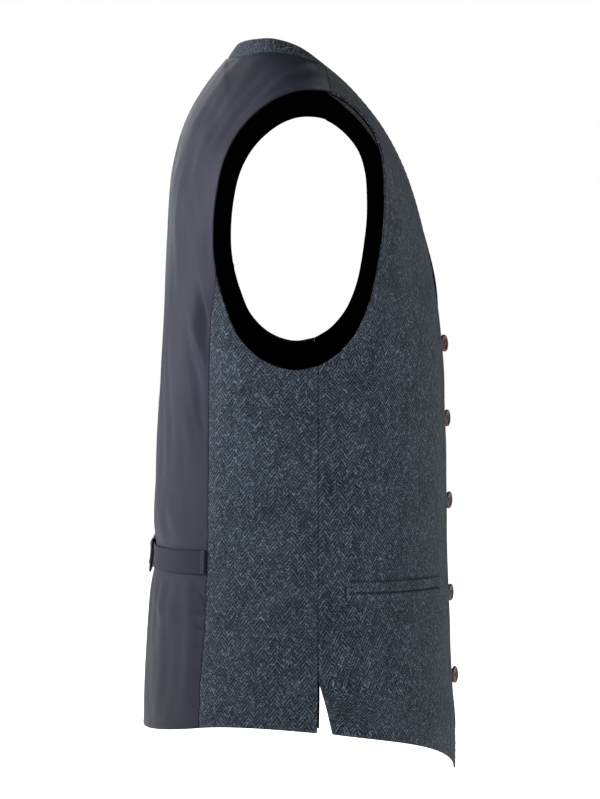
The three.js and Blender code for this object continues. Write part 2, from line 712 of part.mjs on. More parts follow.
// The buttons, four-holed discs on thread shanks.
{
  const { radius, rim, edge, dish, dishDepth, hole, pitch, shank, y } = BUTTON;
  const segments = 24;
  const profile = [
    [0, 0],
    [radius - edge, 0],
    [radius, edge],
    [radius, rim - edge],
    [radius - edge, rim],
    [dish + dishDepth, rim],
    [dish - dishDepth / 2, rim - dishDepth],
    [0, rim - dishDepth],
  ].map(([r, h]) => new THREE.Vector2(r, h));
  // The disc's axis is local Z, with its back at the height of the shank.
  const disc = solidOf(new THREE.LatheGeometry(profile, segments).rotateX(Math.PI / 2));
  const bores = [45, 135, 225, 315].map((turn) => {
    const bore = post(hole, -rim, 2 * rim, 8);
    return solidOf(bore.translate(pitch * Math.cos(rad(turn)), pitch * Math.sin(rad(turn)), 0));
  });
  const pierced = bores.reduce((made, one) => made.subtract(one), disc);
  for (const [i, { z, lean }] of BUTTON_ROW.entries()) {
    // The left front mirrors the right one, so its spot at y is the right one's at -y. The disc
    // leans past the left front's edge, which it clears.
    const spot = front.atHeight(front.shareWhere("y", -y, z), z).mirrored();
    const tip = rad(lean - HOLLOW.slope);
    const overCloth = Math.min(radius, LAP + y + 0.5);
    const off = (BUTTON.clear + overCloth * Math.sin(tip)) / Math.cos(tip);
    const reach = off - shank * Math.tan(tip) - BUTTON.seat;
    const geometry = geometryOf(pierced.add(solidOf(post(shank, -reach, rim / 2, 12))));
    const axis = spot.out.clone().applyAxisAngle(new THREE.Vector3(0, 0, 1), -rad(lean));
    const up = new THREE.Vector3(0, 0, 1).addScaledVector(axis, -axis.z).normalize();
    const basis = new THREE.Matrix4().makeBasis(up.clone().cross(axis), up, axis);
    const base = spot.moved(frontRise.left(spot)).addScaledVector(axis, off);
    add("button_" + (i + 1), geometry.applyMatrix4(basis.setPosition(base)), materials.button);
  }
}

export default waistcoat;
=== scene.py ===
import logging
import math
from dataclasses import asdict, dataclass, fields
from enum import Enum
from typing import Callable

import bmesh
import bpy
import numpy as np
from mathutils import Matrix, Vector


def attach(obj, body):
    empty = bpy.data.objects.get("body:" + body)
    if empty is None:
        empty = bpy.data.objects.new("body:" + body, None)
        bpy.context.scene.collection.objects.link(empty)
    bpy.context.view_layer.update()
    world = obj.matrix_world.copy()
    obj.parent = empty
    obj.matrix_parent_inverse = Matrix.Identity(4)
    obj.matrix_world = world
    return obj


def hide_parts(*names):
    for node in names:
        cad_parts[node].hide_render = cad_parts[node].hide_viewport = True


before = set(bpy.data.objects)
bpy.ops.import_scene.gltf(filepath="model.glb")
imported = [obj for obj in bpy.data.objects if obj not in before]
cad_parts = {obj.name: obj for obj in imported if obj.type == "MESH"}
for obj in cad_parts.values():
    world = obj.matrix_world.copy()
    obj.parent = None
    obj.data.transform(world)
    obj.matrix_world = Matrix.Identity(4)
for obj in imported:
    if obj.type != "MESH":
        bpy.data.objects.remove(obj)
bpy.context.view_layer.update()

LOG = logging.getLogger("waistcoat")
MM = 0.001
Array = np.ndarray
Row = tuple[float, float, float, float, float]
Rows = tuple[Row, ...]
Path = tuple[Array, Array]

# Edges of the wearer's right half: x, y, z, then the cloth's heading there as turn and dip in degrees.
FRONT_EDGE: Rows = (
    (137.6, -27, -597.5, 9, -29),
    (138.6, -14, -575, 4, -25),
    (135.6, 5, -547, -1, -19),
    (132.7, 14, -521, -3, -13),
    (129.1, 14, -450, -3, -4),
    (127, 14, -390, -3, 0),
    (125.8, 14, -330, -3, 0),
    (123.9, 14, -280, -3, 0),
    (122.3, 14, -240, -3, 0),
    (119.8, 14, -213, -3, 0),
    (118.8, 5, -190, 0, 0),
    (115.8, -5, -166, 3, 0),
    (110.7, -14, -143, 6, 0),
    (106.7, -20, -128, 6, 0),
    (97, -32, -98, 6, 0),
    (84.6, -44, -70, 4, 0),
    (68, -55, -43, 1, 2),
    (50.4, -63.5, -21, 0, 6),
    (35.4, -69.3, -6, -1, 11),
    (20, -74.3, 6.3, -2.7, 18.7),
    (0, -76.5, 20.5, -8, 22),
)
FRONT_SIDE: Rows = (
    (25.5, -177.5, -523, 86, -9),
    (20, -177.3, -500, 87, -7),
    (14.3, -176.3, -480, 88, -5),
    (14, -173, -440, 88, -2),
    (14, -171.5, -400, 88, 0),
    (14, -172, -330, 88, 0),
    (14, -174.5, -280, 88, 0),
    (14, -177, -232.5, 88, 0),
    (27, -176, -225, 78, 0),
    (42, -173.5, -209, 67, 0),
    (54.5, -169.5, -182, 55, 0),
    (61, -166.5, -154, 43, 0),
    (65, -164.5, -127, 33, 0),
    (66, -163.5, -99, 25, 0),
    (64, -162.5, -72, 18, 4),
    (58, -161.5, -53, 11, 8),
    (44, -160, -35, 6, 13),
    (24, -158, -22, -2.7, 18.7),
    (4, -157.5, -19.5, -8, 22),
)
SIDE_SEAM: Rows = (
    (13.5, -178, -522, 88, -6),
    (14, -177.3, -500, 88, 0),
    (14, -176.3, -480, 88, 0),
    (14, -173, -440, 88, 0),
    (14, -171.5, -400, 88, 0),
    (14, -172, -330, 88, 0),
    (14, -174.5, -280, 88, 0),
    (14, -177, -232.5, 88, 0),
)
SIDE_ARMHOLE: Rows = (
    (14, -177, -232.5, 88, 0),
    (-4, -177.5, -235.5, 93, 0),
    (-28.5, -176.5, -228, 101, 0),
    (-48.5, -174.5, -208.5, 111, 0),
    (-59.3, -171.5, -183, 121, 0),
    (-65, -169.3, -163, 133, 0),
)
BACK_SEAM: Rows = (
    (-81.5, -147, -526.8, 132, 14),
    (-80.5, -147.5, -495, 132, 9),
    (-77.5, -146, -455, 132, 3),
    (-74.5, -145, -400, 132, 0),
    (-73, -146, -340, 132, 0),
    (-72, -150, -272, 132, 0),
    (-71, -155.5, -232.5, 132, 0),
    (-69, -162.8, -197, 132, 0),
    (-65, -169.3, -163, 133, 0),
)
BACK_SIDE: Rows = (
    *BACK_SEAM,
    (-66.9, -168.3, -145, 138, -5),
    (-67.2, -167.5, -127, 143, -9),
    (-64.5, -166.5, -99, 150, -14),
    (-58, -165, -72, 157, -19),
    (-48, -163, -53, 164, -22),
    (-31, -160.5, -35, 170, -24),
    (-16, -158.5, -25.5, 166, -24),
    (0, -157.5, -20.5, 163, -24),
    (12, -157.3, -20, 171, -21),
    (24, -158, -22, 177.3, -18.7),
    (44, -160, -35, 177, -16),
)
CENTRE_BACK: Rows = (
    (-138.5, 0, -562.5, 180, 9),
    (-137.5, 0, -526, 180, 6),
    (-135, 0, -490, 180, 0),
    (-131.2, 0, -436, 180, 0),
    (-128.3, 0, -400, 180, 0),
    (-126.6, 0, -355, 180, 0),
    (-124, 0, -310, 180, 0),
    (-121, 0, -262, 180, 0),
    (-118, 0, -215, 180, 0),
    (-115, 0, -165, 180, 0),
    (-113, 0, -127, 180, 0),
    (-110.5, 0, -96, 180, 0),
    (-107, 0, -68, 180, 0),
    (-101.5, 0, -45, 180, 0),
    (-92, 0, -23, 180, 0),
    (-82, 0, -8, 180, 0),
    (-72, 0, 5, 180, 0),
    (-62.5, 0, 17, 180, 0),
    (-58, -33, 15, 172, -9),
    (-45, -64, 13.8, 162, -17),
    (-25, -81, 15.5, 162, -22),
    (-2, -86, 12, 169, -21),
    (20.5, -84.6, 2.8, 177.3, -18.7),
    (36, -81.5, -9, 177, -12),
)
NECK_EDGE: Rows = (
    (-55, 0, 28, 180, 0),
    (-50.5, -28, 28.8, 172, 0),
    (-37.5, -55, 29, 162, 0),
    (-20, -71.5, 27.5, 162, 0),
    (0, -76.5, 20.5, 168, 0),
    (20, -74.3, 6.3, 177.3, 0),
)
V_BREAK = 9
VENT_TOP, ARMHOLE_FOOT = 2, 7
BACK_SEAM_TOP, BACK_CORNER = 8, 13
CENTRE_LEVEL, CENTRE_NECK = 9, 17

TWEED = 1.8
SATIN = 1.2
LINING = 1.0
LINING_DEPTH = 3.0
LINING_INSET = 4.0
HALF_GAP = 0.03
LAY_GAP = 0.3
LAP = 14.0
LAP_LIFT = TWEED + 1.0
LAP_EASE = 45.0
CROWN_POWER = 6
RIM_STEPS = np.array((0.0, 0.04, 0.15, 0.35, 0.65, 1.0, 1.6))
MIRROR = np.array((1.0, -1.0, 1.0))

# How finely lengths are measured, places are looked for and threads are rounded.
SPAN_PROBES, ROW_PROBES, HALVINGS, TUBE_SIDES = 33, 25, 22, 8

# The faint waves of well-used cloth are this many sines, whose sum is taken to be this high.
WAVE_COUNT, WAVE_SUM = 7, 2.6


def lerp(start: Array | float, end: Array | float, share: Array | float) -> Array | float:
    """Value a share of the way from start to end."""
    return start + (end - start) * share


def smoothstep(value: Array | float, low: float, high: float) -> Array:
    """Smooth step from 0 at low to 1 at high."""
    t = np.clip((np.asarray(value, float) - low) / (high - low), 0.0, 1.0)
    return t * t * (3 - 2 * t)


def bell(off: Array) -> Array:
    """A bell curve, one at zero."""
    return np.exp(-off * off)


def unit(vectors: Array) -> Array:
    """Vectors scaled to length one."""
    return vectors / np.linalg.norm(vectors, axis=-1, keepdims=True)


def dot(first: Array, second: Array) -> Array:
    """Scalar products along the last axis, which is kept."""
    return (first * second).sum(-1, keepdims=True)


def spread(shares: Array, across: Array) -> Array:
    """Each row's or each spot's shares, as one for each spot of a grid."""
    return np.broadcast_to(shares if shares.ndim == 2 else shares[:, None], across.shape)


def travelled(places: Array, axis: int) -> Array:
    """Distance covered along a grid of places, from its first row or column.

    Args:
        places: Rows by columns by three.
        axis: 0 to go up the rows, 1 to go across the columns.

    Returns:
        Rows by columns of distances.
    """
    steps = np.linalg.norm(np.diff(places, axis=axis), axis=-1)
    start = np.zeros_like(places[..., 0].take([0], axis))
    return np.concatenate([start, np.cumsum(steps, axis)], axis)


def spaced(low: Array, high: Array, count: int) -> Array:
    """Places that run evenly from a close group to another.

    Args:
        low: The first group.
        high: The last group.
        count: How many even places there are, with the two groups' nearest.

    Returns:
        All the places.
    """
    return np.concatenate([low, np.linspace(low[-1], high[0], count)[1:-1], high])


def heading(table: Array) -> Array:
    """Directions of the cloth from columns of turn and dip in degrees."""
    turn, dip = np.radians(table[..., 3]), np.radians(table[..., 4])
    return np.stack([-np.sin(turn) * np.cos(dip), -np.cos(turn) * np.cos(dip), -np.sin(dip)], -1)


@dataclass
class Edge:
    """A smooth edge of a pattern piece through a table of places.

    Args:
        rows: The table.
        stops: Rows at which the edge is paired with the one across the piece.
        corners: Rows where it turns sharply.
    """

    rows: Rows
    stops: tuple[int, ...]
    corners: tuple[int, ...] = ()

    def __post_init__(self) -> None:
        """Works out the lengths and slopes between the rows."""
        self.table = np.array(self.rows, float)
        self.length = travelled(self.table[:, None, :3], 0)[:, 0]
        self.ahead, self.behind = self._slopes(True), self._slopes(False)

    def _slopes(self, ahead: bool) -> Array:
        """Slope of each column at each row, seen from the next row or the one before.

        Args:
            ahead: Whether it is seen from the next row, which matters at a corner.

        Returns:
            Rows by columns of slopes.
        """
        gaps = np.diff(self.length)[:, None]
        rise = np.diff(self.table, axis=0) / gaps
        made = np.empty_like(self.table)
        made[0], made[-1] = rise[0], rise[-1]
        made[1:-1] = (rise[:-1] * gaps[1:] + rise[1:] * gaps[:-1]) / (gaps[:-1] + gaps[1:])
        for corner in self.corners:
            made[corner] = rise[corner if ahead else corner - 1]
        return made

    def at(self, span: int, share: Array | float) -> Array:
        """Place and heading, a share of the way from one stop to the next.

        Args:
            span: Which stop to start from.
            share: Shares from 0 to 1.

        Returns:
            The five columns for each share, on the last axis.
        """
        first, last = self.stops[span], self.stops[span + 1]
        along = lerp(self.length[first], self.length[last], np.asarray(share, float))
        i = np.clip(np.searchsorted(self.length, along) - 1, first, last - 1)
        reach = (self.length[i + 1] - self.length[i])[..., None]
        u = (along - self.length[i])[..., None] / reach
        leave, meet = self.ahead[i] * reach, self.behind[i + 1] * reach
        rest = (1 - u) ** 2
        return (
            self.table[i] * (1 + 2 * u) * rest
            + leave * u * rest
            + self.table[i + 1] * u * u * (3 - 2 * u)
            - meet * u * u * (1 - u)
        )


def arc(start: Array, end: Array, share: Array) -> Array:
    """Places on the arcs that leave and meet two edges on their headings.

    Args:
        start: Edge columns where the arcs start.
        end: Edge columns where they end.
        share: Shares of the way along.

    Returns:
        Places, on the last axis.
    """
    a, b = start[..., :3], end[..., :3]
    leave, meet = heading(start), heading(end)
    chord = b - a
    bend = np.arccos(np.clip(dot(leave, meet), -1, 1))
    grip = 3 * np.cos(bend / 4) ** 2
    even = np.linalg.norm(chord, axis=-1, keepdims=True) / grip
    cross = leave[..., :1] * meet[..., 1:2] - leave[..., 1:2] * meet[..., :1]
    sure = smoothstep(np.abs(cross), 0.2, 0.5)
    pull = 2 * np.cos(bend / 2) / grip / np.where(np.abs(cross) < 0.2, 1.0, cross)
    near = pull * (chord[..., :1] * meet[..., 1:2] - chord[..., 1:2] * meet[..., :1])
    far = pull * (leave[..., :1] * chord[..., 1:2] - leave[..., 1:2] * chord[..., :1])
    first, second = a + leave * lerp(even, near, sure), b - meet * lerp(even, far, sure)
    t = np.asarray(share, float)[..., None]
    return a * (1 - t) ** 3 + 3 * first * t * (1 - t) ** 2 + 3 * second * t * t * (1 - t) + b * t**3


@dataclass
class Spots:
    """A grid of places on the cloth's outside, rows upwards and columns across.

    Args:
        place: Where each spot is.
        out: Which way is out of the garment.
        across: Share of the way across the panel.
    """

    place: Array
    out: Array
    across: Array

    def __post_init__(self) -> None:
        """Measures how far each spot is from the grid's borders."""
        sideways, upwards = travelled(self.place, 1), travelled(self.place, 0)
        self.from_start, self.from_end = sideways, sideways[:, -1:] - sideways
        self.from_foot, self.from_top = upwards, upwards[-1:] - upwards

    @property
    def nearest(self) -> Array:
        """Distance to the nearest border."""
        pair = np.minimum(self.from_start, self.from_end), np.minimum(self.from_foot, self.from_top)
        return np.minimum(*pair)

    @property
    def x(self) -> Array:
        """Distances forwards."""
        return self.place[..., 0]

    @property
    def y(self) -> Array:
        """Distances to the wearer's left."""
        return self.place[..., 1]

    @property
    def z(self) -> Array:
        """Heights."""
        return self.place[..., 2]

    def lifted(self, by: Array | float) -> Array:
        """Places moved out of the garment by distances."""
        return self.place + self.out * np.broadcast_to(by, self.across.shape)[..., None]

    def mirrored(self) -> "Spots":
        """The same spots on the wearer's other side."""
        return Spots((self.place * MIRROR)[:, ::-1], (self.out * MIRROR)[:, ::-1], self.across[:, ::-1])


@dataclass
class Gaps:
    """How far a piece stays from the edges of its panel, in millimetres."""

    start: float = 0.0
    end: float = 0.0
    foot: float = 0.0
    top: float = 0.0


@dataclass
class Panel:
    """A panel of cloth between two edges.

    Args:
        start: The edge that its rows leave.
        end: The edge that they meet.
        crown: An edge that the top row is drawn to, or None.
    """

    start: Edge
    end: Edge
    crown: Edge | None = None

    def places(self, across: Array, spans: Array, shares: Array) -> Array:
        """Places on the panel.

        Args:
            across: Shares of the way across, rows by columns.
            spans: The span of each row.
            shares: Each row's, or each spot's, share of its span.

        Returns:
            Rows by columns by three.
        """
        made = np.empty(across.shape + (3,))
        shares = spread(shares, across)
        for span in np.unique(spans):
            pick = spans == span
            ends = [edge.at(span, shares[pick]) for edge in (self.start, self.end)]
            made[pick] = arc(*ends, across[pick])
            if self.crown:
                tops = [edge.at(span, 1.0) for edge in (self.start, self.end)]
                miss = self.crown.at(0, across[pick])[..., :3] - arc(*tops, across[pick])
                made[pick] += miss * shares[pick][..., None] ** CROWN_POWER
        return made

    def spots(self, across: Array, spans: Array, shares: Array) -> Spots:
        """Spots on the panel.

        Args:
            across: Shares of the way across, rows by columns.
            spans: The span of each row.
            shares: Each row's, or each spot's, share of its span.

        Returns:
            The spots.
        """
        step = 1e-3
        shares = spread(shares, across)
        ahead, back = (self.places(across + by, spans, shares) for by in (step, -step))
        around = unit(ahead - back)
        borders = np.empty_like(around)
        for span in np.unique(spans):
            pick = spans == span
            lead, trail = (heading(edge.at(span, shares[pick])) for edge in (self.start, self.end))
            borders[pick] = np.where(across[pick][..., None] < 0.5, lead, trail)
        inside = smoothstep(np.minimum(across, 1 - across), 0, 0.04)[..., None]
        around = unit(lerp(borders, around, inside))
        below = np.maximum(shares - step, np.minimum(shares, 0))
        above = np.minimum(shares + step, np.maximum(shares, 1))
        up = unit(self.places(across, spans, above) - self.places(across, spans, below))
        return Spots(self.places(across, spans, shares), unit(np.cross(up, around)), across)

    def grid(
        self, columns: int, span_rows: tuple[int, ...], gaps: Gaps, roll: float, first: float = 0.0
    ) -> Spots:
        """A fine grid of spots, closer together where its borders roll in.

        Args:
            columns: Number of even columns.
            span_rows: Number of even rows in each span.
            gaps: Distances to the panel's edges.
            roll: Width over which a border rolls in.
            first: Share of the way across at which the grid starts.

        Returns:
            The grid.
        """
        rim = RIM_STEPS * roll
        made: list[tuple[int, float]] = []
        for span, count in enumerate(span_rows):
            steps = np.linspace(0, 1, SPAN_PROBES)
            middle = self.places(np.full((SPAN_PROBES, 1), 0.5), np.full(SPAN_PROBES, span), steps)
            length = travelled(middle, 0)[-1, 0]
            low = (gaps.foot + rim) / length if span == 0 else np.zeros(1)
            high = 1 - (gaps.top + rim[::-1]) / length if span == len(span_rows) - 1 else np.ones(1)
            shares = spaced(low, high, count + 1)
            made += [(span, float(share)) for share in (shares if span == 0 else shares[1:])]
        spans, shares = np.array([span for span, _ in made]), np.array([share for _, share in made])
        probe = np.tile(np.linspace(first, 1, ROW_PROBES), (len(made), 1))
        width = travelled(self.places(probe, spans, shares), 1)[:, -1:] / (1 - first)
        low = first + (gaps.start + rim) / width
        high = 1 - (gaps.end + rim[::-1]) / width
        even = lerp(low[:, -1:], high[:, :1], np.linspace(0, 1, columns + 1)[1:-1])
        return self.spots(np.concatenate([low, even, high], 1), spans, shares)

    def at_height(self, across: Array, z: Array) -> Spots:
        """Spots of the first span, at given heights.

        Args:
            across: Shares of the way across, rows by columns.
            z: Heights, rows by columns.

        Returns:
            The spots.
        """
        low, high = np.zeros(across.shape), np.ones(across.shape)
        spans = np.zeros(len(across), int)
        for _ in range(HALVINGS):
            middle = (low + high) / 2
            below = self.places(across, spans, middle)[..., 2] < z
            low, high = np.where(below, middle, low), np.where(below, high, middle)
        return self.spots(across, spans, (low + high) / 2)

    def share_where(self, axis: int, value: float, height: Callable[[float], float]) -> float:
        """Share across at which the panel reaches a coordinate.

        Args:
            axis: 0 for x, 1 for y. The coordinate falls along the row.
            value: The coordinate wanted.
            height: The height to look at, for a share across.

        Returns:
            The share across.
        """
        low, high = 0.0, 1.0
        for _ in range(HALVINGS):
            middle = (low + high) / 2
            spot = self.at_height(np.array([[middle]]), np.array([[height(middle)]]))
            beyond = spot.place[0, 0, axis] > value
            low, high = (middle, high) if beyond else (low, middle)
        return low


FRONT = Panel(
    Edge(FRONT_EDGE, (0, V_BREAK, len(FRONT_EDGE) - 2), (V_BREAK,)),
    Edge(FRONT_SIDE, (0, ARMHOLE_FOOT, len(FRONT_SIDE) - 2), (VENT_TOP, ARMHOLE_FOOT)),
)
SIDE_BODY = Panel(
    Edge(SIDE_SEAM, (0, len(SIDE_SEAM) - 1)),
    Edge(BACK_SIDE, (0, BACK_SEAM_TOP)),
    Edge(SIDE_ARMHOLE, (0, len(SIDE_ARMHOLE) - 1)),
)
BACK = Panel(
    Edge(BACK_SIDE, (0, BACK_SEAM_TOP, BACK_CORNER, len(BACK_SIDE) - 2)),
    Edge(CENTRE_BACK, (0, CENTRE_LEVEL, CENTRE_NECK, len(CENTRE_BACK) - 2), (CENTRE_NECK,)),
)


class Side(Enum):
    """The wearer's side that a piece is on."""

    RIGHT = "right"
    LEFT = "left"

    def turned(self, spots: Spots) -> Spots:
        """Spots of the right half, moved to this side."""
        return spots if self is Side.RIGHT else spots.mirrored()

    def flipped(self, values: Array) -> Array:
        """One number for each spot of the right half, in the order of this side's spots."""
        return values if self is Side.RIGHT else values[:, ::-1]

    def mapped(self, grain: Array) -> Array:
        """Places on the right half's flat cloth, as they are on this side's."""
        return grain if self is Side.RIGHT else grain[:, ::-1] * (-1, 1)

    @property
    def lap(self) -> float:
        """Which way this side's front is moved where the two overlap."""
        return -LAP_LIFT / 2 if self is Side.RIGHT else LAP_LIFT / 2

    @property
    def fold_share(self) -> float:
        """How high this side's folds are, against the right side's."""
        return 1.0 if self is Side.RIGHT else 0.8


@dataclass(frozen=True)
class Fold:
    """A soft ridge in the worn cloth, or a trough where its height is negative, seen from the side.

    Args:
        start: Where it starts, as x and z.
        end: Where it ends.
        half_width: Its half width.
        height: How far it lifts the cloth.
    """

    start: tuple[float, float]
    end: tuple[float, float]
    half_width: float
    height: float

    def rise(self, x: Array, z: Array) -> Array:
        """How far it lifts the cloth, seen from the side.

        Args:
            x: Distances forwards.
            z: Heights.

        Returns:
            The rise at each place.
        """
        (x0, z0), (x1, z1) = self.start, self.end
        dx, dz = x1 - x0, z1 - z0
        along = ((x - x0) * dx + (z - z0) * dz) / (dx * dx + dz * dz)
        off = np.hypot(x - x0 - along * dx, z - z0 - along * dz) / self.half_width
        ends = smoothstep(along, -0.15, 0.4) * (1 - smoothstep(along, 0.6, 1.15))
        return self.height * bell(off) * ends


# The broad folds that the part's solids have too.
BACK_FOLDS = (
    Fold((-100, -70), (-99, -150), 8, 2.2),
    Fold((-81, -95), (-82, -160), 7, 2.4),
    Fold((-87, -160), (-78, -232), 8, 3.0),
    Fold((-101, -205), (-90, -300), 9, 2.4),
    Fold((-118, -350), (-95, -368), 11, 1.6),
    Fold((-121, -448), (-100, -436), 12, 1.8),
)
FRONT_FOLDS = (Fold((72, -95), (82, -165), 9, 1.8),)

# Finer creases: drag lines in the satin beside the armhole and its seam, and down the back.
SATIN_CREASES = (
    Fold((-80, -165), (-68, -224), 3.0, -2.4),
    Fold((-75, -172), (-69, -206), 2.2, 1.3),
    Fold((-85, -188), (-71, -242), 2.6, 1.8),
    Fold((-90, -205), (-78, -262), 3.0, -1.4),
    Fold((-86, -248), (-79, -292), 2.6, 1.2),
    Fold((-82, -256), (-77, -296), 2.6, -0.9),
    Fold((-86, -86), (-82, -128), 3.8, -1.4),
    Fold((-66, -98), (-69, -146), 2.8, -1.4),
    Fold((-70, -62), (-92, -34), 6.0, 0.7),
    Fold((-60, -48), (-84, -16), 6.0, -0.7),
    Fold((-104, -330), (-98, -372), 5.0, -0.6),
    Fold((-112, -420), (-110, -470), 6.0, -0.6),
    Fold((-92, -470), (-90, -535), 6.0, 0.5),
)
TWEED_CREASES = (
    Fold((-50, -248), (-30, -312), 4.5, 0.5),
    Fold((-38, -246), (-18, -300), 5.0, -0.45),
    Fold((62, -120), (70, -176), 4.0, -0.5),
    Fold((96, -250), (60, -300), 9.0, 0.4),
    Fold((40, -452), (30, -500), 8.0, 0.35),
    Fold((92, -470), (84, -540), 9.0, -0.4),
)


@dataclass(frozen=True)
class Pucker:
    """A pinch where a seam's thread draws the cloth in.

    Args:
        z: Its height on the seam.
        depth: How deep it is at the seam.
        half_height: Half its height.
        reach: How far it runs from the seam.
        slope: How far it climbs over its reach.
    """

    z: float
    depth: float
    half_height: float
    reach: float
    slope: float = 0.0

    def rise(self, z: Array, off: Array) -> Array:
        """How far it lifts the cloth, for heights and distances from the seam."""
        away = np.clip(off / self.reach, 0, None)
        line = (z - self.z - self.slope * away) / (self.half_height * (1 + 0.5 * away))
        return -self.depth * bell(line) * bell(away * 1.1)


BACK_PUCKERS = (
    Pucker(-404, 1.2, 2.0, 7, 1.5),
    Pucker(-424, 2.2, 2.6, 12, 8.0),
    Pucker(-435.5, 2.4, 2.2, 12, 1.2),
    Pucker(-447.5, 2.0, 2.2, 10, 2.5),
    Pucker(-461, 1.4, 2.4, 9, -1.0),
    Pucker(-482, 1.1, 2.8, 9, 2.0),
    Pucker(-505, 1.2, 2.8, 10, 1.0),
    Pucker(-368, 0.9, 2.8, 9, -2.0),
    Pucker(-345, 0.4, 3.5, 9, 2.0),
    Pucker(-318, 0.4, 4.0, 10, 2.0),
    Pucker(-286, 0.4, 4.0, 10, 3.0),
)
TWEED_PUCKER_SHARE = 0.3


@dataclass(frozen=True)
class Unevenness:
    """Faint slow waves in cloth that has seen wear.

    Args:
        height: How high they are.
        wide: Wave length across.
        tall: Wave length upwards.
        seed: Fixed seed for their phases.
    """

    height: float
    wide: float
    tall: float
    seed: int

    def rise(self, spots: Spots) -> Array:
        """How far they lift the cloth, dying away at its borders.

        Args:
            spots: Spots on the cloth.

        Returns:
            The rise at each spot.
        """
        random = np.random.default_rng(self.seed)
        total = np.zeros(spots.across.shape)
        around = spots.x + np.abs(spots.y)
        for _ in range(WAVE_COUNT):
            a, b = random.normal(0, 1, 2)
            phase = random.uniform(0, 2 * math.pi)
            total += np.sin(2 * math.pi * (around * a / self.wide + spots.z * b / self.tall) + phase)
        return self.height * total / WAVE_SUM * smoothstep(spots.nearest, 1.0, 22.0)


# The closure: each button's height and how far it leans, where it sits, and its dimple in the cloth.
BUTTON_ROW = ((-226.0, 23.0), (-291.0, 20.0), (-363.0, 21.0), (-445.0, 18.0), (-519.0, 19.0))
BUTTON_Y = -7.5
BUTTON_CLEAR = 0.8
DIMPLE_DEPTH, DIMPLE_WIDTH = 0.9, 9.0

# Each front swells beside the closure, and the buttons hold it in along a hollow.
SWELL_HEIGHT, SWELL_Y, SWELL_HALF = 3.2, 31.0, 15.0
HOLLOW_DEPTH, HOLLOW_Y, HOLLOW_HALF, HOLLOW_SLOPE = 2.4, -14.0, 16.0, 6.0
CLOSURE_BEGINS, CLOSURE_WHOLE, CLOSURE_WANES, CLOSURE_ENDS = -555.0, -495.0, -225.0, -160.0

# The cinch strap and the waist pockets, shared by the cloth under them.
STRAP_WIDTH, STRAP_THICK, STRAP_LIE = 19.5, 1.4, 0.7
STRAP_SEAM_Z, STRAP_CENTRE_Z = -391.5, -411.0
STRAP_TAIL = 0.955
PINCH_DEPTH, PINCH_HALF = 3.2, 21.0
BACK_WIDTH = 150.0
POCKET_BACK_X, POCKET_FRONT_X, POCKET_Z = 35.5, 116.5, -411.5
POCKET_FALL, POCKET_BOW, POCKET_SLIT = 8.0, 6.0, 1.0
POCKET_BAR = {"upper": 8.6, "lower": 6.8}
JET_THICK = 1.1


def fold_rise(folds: tuple[Fold, ...], spots: Spots) -> Array:
    """Lift of the broad folds, which die away towards the panel's side seams."""
    total = sum(fold.rise(spots.x, spots.z) for fold in folds)
    return total * smoothstep(spots.across, 0, 0.12) * (1 - smoothstep(spots.across, 0.88, 1))


def crease_rise(creases: tuple[Fold, ...], spots: Spots, off: Array) -> Array:
    """Lift of the fine creases, which die away within a few millimetres of a seam at distance off."""
    return sum(crease.rise(spots.x, spots.z) for crease in creases) * smoothstep(off, 0.5, 7.0)


def pocket_line(along: Array) -> Array:
    """Heights of a pocket's mouth, for shares of the way along it from its back end."""
    return POCKET_Z - POCKET_FALL * along - POCKET_BOW * along**2


def closure_rise(side: Side, spots: Spots) -> Array:
    """How far the lap, the swell beside it and its hollow lift a front.

    Args:
        side: The wearer's side.
        spots: Spots on the front.

    Returns:
        The rise at each spot.
    """
    lap = 1 - smoothstep(np.abs(spots.y), LAP + 2, LAP + 2 + LAP_EASE)
    swell = SWELL_HEIGHT * bell((np.abs(spots.y) - SWELL_Y) / SWELL_HALF)
    hollow = HOLLOW_DEPTH * bell((spots.y - HOLLOW_Y) / HOLLOW_HALF)
    there = smoothstep(spots.z, CLOSURE_BEGINS, CLOSURE_WHOLE)
    waning = 1 - smoothstep(spots.z, CLOSURE_WANES, CLOSURE_ENDS)
    return side.lap * lap + (swell - hollow) * there * waning


def front_rise(side: Side, spots: Spots, off: Array | float = 50.0) -> Array:
    """How far a front's outside stands off the smooth panel.

    Args:
        side: The wearer's side.
        spots: Spots on the front.
        off: Distance from its side seam or armhole.

    Returns:
        The rise at each spot.
    """
    offs = (np.hypot(spots.y - BUTTON_Y, spots.z - z) / DIMPLE_WIDTH for z, _ in BUTTON_ROW)
    dimples = sum(bell(off) for off in offs)
    facing = smoothstep(spots.out[..., 0], 0.2, 0.6)
    folds = fold_rise(FRONT_FOLDS, spots) + crease_rise(TWEED_CREASES, spots, np.asarray(off))
    return side.fold_share * folds + closure_rise(side, spots) - DIMPLE_DEPTH * dimples * facing


def strap_line(across: Array | float) -> Array | float:
    """Heights of the strap's middle, for shares of the way across the back."""
    return lerp(STRAP_SEAM_Z, STRAP_CENTRE_Z, across)


def back_rise(side: Side, spots: Spots) -> Array:
    """How far a back's outside stands off the smooth panel.

    Args:
        side: The wearer's side.
        spots: Spots on that side's back.

    Returns:
        The rise at each spot.
    """
    pinch = PINCH_DEPTH * bell((spots.z - strap_line(spots.across)) / PINCH_HALF)
    pinch = pinch * smoothstep(spots.across, 0, 0.6)
    width = BACK_WIDTH * np.minimum(spots.across, 1 - spots.across)
    creases = crease_rise(SATIN_CREASES, spots, width)
    return side.fold_share * (fold_rise(BACK_FOLDS, spots) + creases) - pinch


def pucker_rise(spots: Spots, off: Array) -> Array:
    """Lift of the puckers along the seam between side body and back, for distances from it."""
    below = 1 - smoothstep(spots.z, -250, -230)
    return sum(pucker.rise(spots.z, off) for pucker in BACK_PUCKERS) * below


